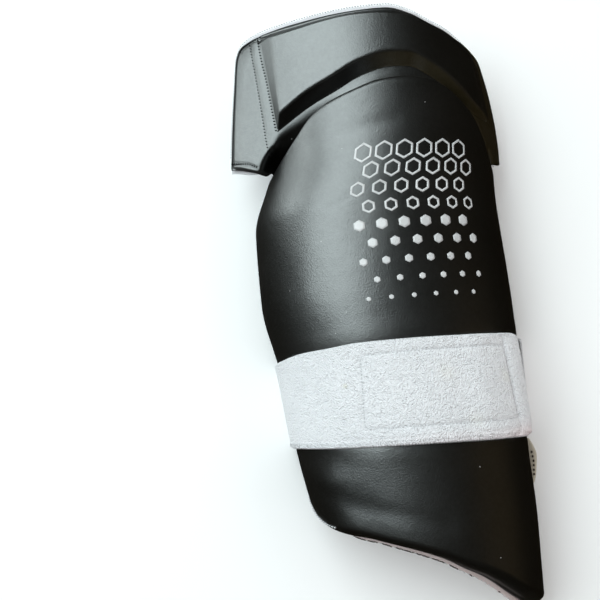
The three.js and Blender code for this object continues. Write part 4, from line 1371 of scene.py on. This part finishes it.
def soft_box(name, at, target, size, radiance, colour, glossy=True, diffuse=True):
    light = bpy.data.lights.new(name, "AREA")
    light.shape = "RECTANGLE"
    light.size, light.size_y = size
    light.energy = radiance * math.pi * size[0] * size[1]
    light.color = colour
    obj = bpy.data.objects.new(name, light)
    obj.location = at
    obj.rotation_euler = (Vector(at) - Vector(target)).to_track_quat("Z", "Y").to_euler()
    obj.visible_camera, obj.visible_glossy, obj.visible_diffuse = False, glossy, diffuse
    scene.collection.objects.link(obj)
    return obj


soft_box("key", (-0.70, 0.57, 1.11), (0, 0.05, 0.06), (1.60, 1.12), 3.65, (0.87, 1.0, 1.01))
soft_box("floor_left", (-0.24, 0.26, 0.004), (-0.24, 0.26, 1.0), (0.17, 0.15), 1.7, (0.88, 1.0, 1.0), diffuse=False)
soft_box("low_left_near", (-0.35, 0.215, 0.125), (-0.07, 0.117, 0.085), (0.10, 0.10), 3.0, (0.88, 1.0, 1.0), diffuse=False)
soft_box("low_left", (-0.35, 0.33, 0.11), (-0.06, 0.14, 0.05), (0.27, 0.22), 1.6, (0.88, 1.0, 1.0), diffuse=False)
soft_box("left_fill", (-1.0, 0.0, 0.45), (0, -0.05, 0.05), (1.0, 0.8), 0.5, (1.0, 1.0, 1.02), glossy=False)
soft_box("warm_side", (1.1, -0.3, 0.5), (0, 0, 0.05), (0.9, 0.9), 0.062, (1.0, 0.72, 0.34))
soft_box("right_fill", (0.9, -0.1, 0.6), (0.05, -0.05, 0.05), (1.0, 1.0), 1.0, (1.0, 0.985, 0.97), glossy=False)
sky = bpy.data.lights.new("sky", "SUN")
sky.angle = math.radians(110)
sky.energy = 1.27
sky.color = (1.0, 0.985, 0.985)
sky_object = bpy.data.objects.new("sky", sky)
sky_object.rotation_euler = (math.radians(-4), math.radians(5), 0)
sky_object.visible_glossy = False
scene.collection.objects.link(sky_object)

# camera, from the photo's viewing angle
TILT, ROLL_TURN, DISTANCE = math.radians(7.0), math.radians(5.4), 650.0
back_dir = np.array([0, -math.sin(TILT), math.cos(TILT)])
up_dir = np.array([0, math.cos(TILT), math.sin(TILT)])
right_dir = np.array([1.0, 0, 0])
right_turned = math.cos(ROLL_TURN) * right_dir - math.sin(ROLL_TURN) * up_dir
up_turned = math.sin(ROLL_TURN) * right_dir + math.cos(ROLL_TURN) * up_dir
eye = place(np.array([-57.0, 0, 90.0]) + DISTANCE * back_dir)[0]
lens = bpy.data.cameras.new("camera")
lens.sensor_width = 36.0
lens.lens = 18.0 / 0.312
lens.clip_start = 0.02
camera = bpy.data.objects.new("camera", lens)
camera.matrix_world = Matrix([
    [right_turned[0], up_turned[0], back_dir[0], eye[0]],
    [right_turned[1], up_turned[1], back_dir[1], eye[1]],
    [right_turned[2], up_turned[2], back_dir[2], eye[2]],
    [0, 0, 0, 1]])
scene.collection.objects.link(camera)
scene.camera = camera
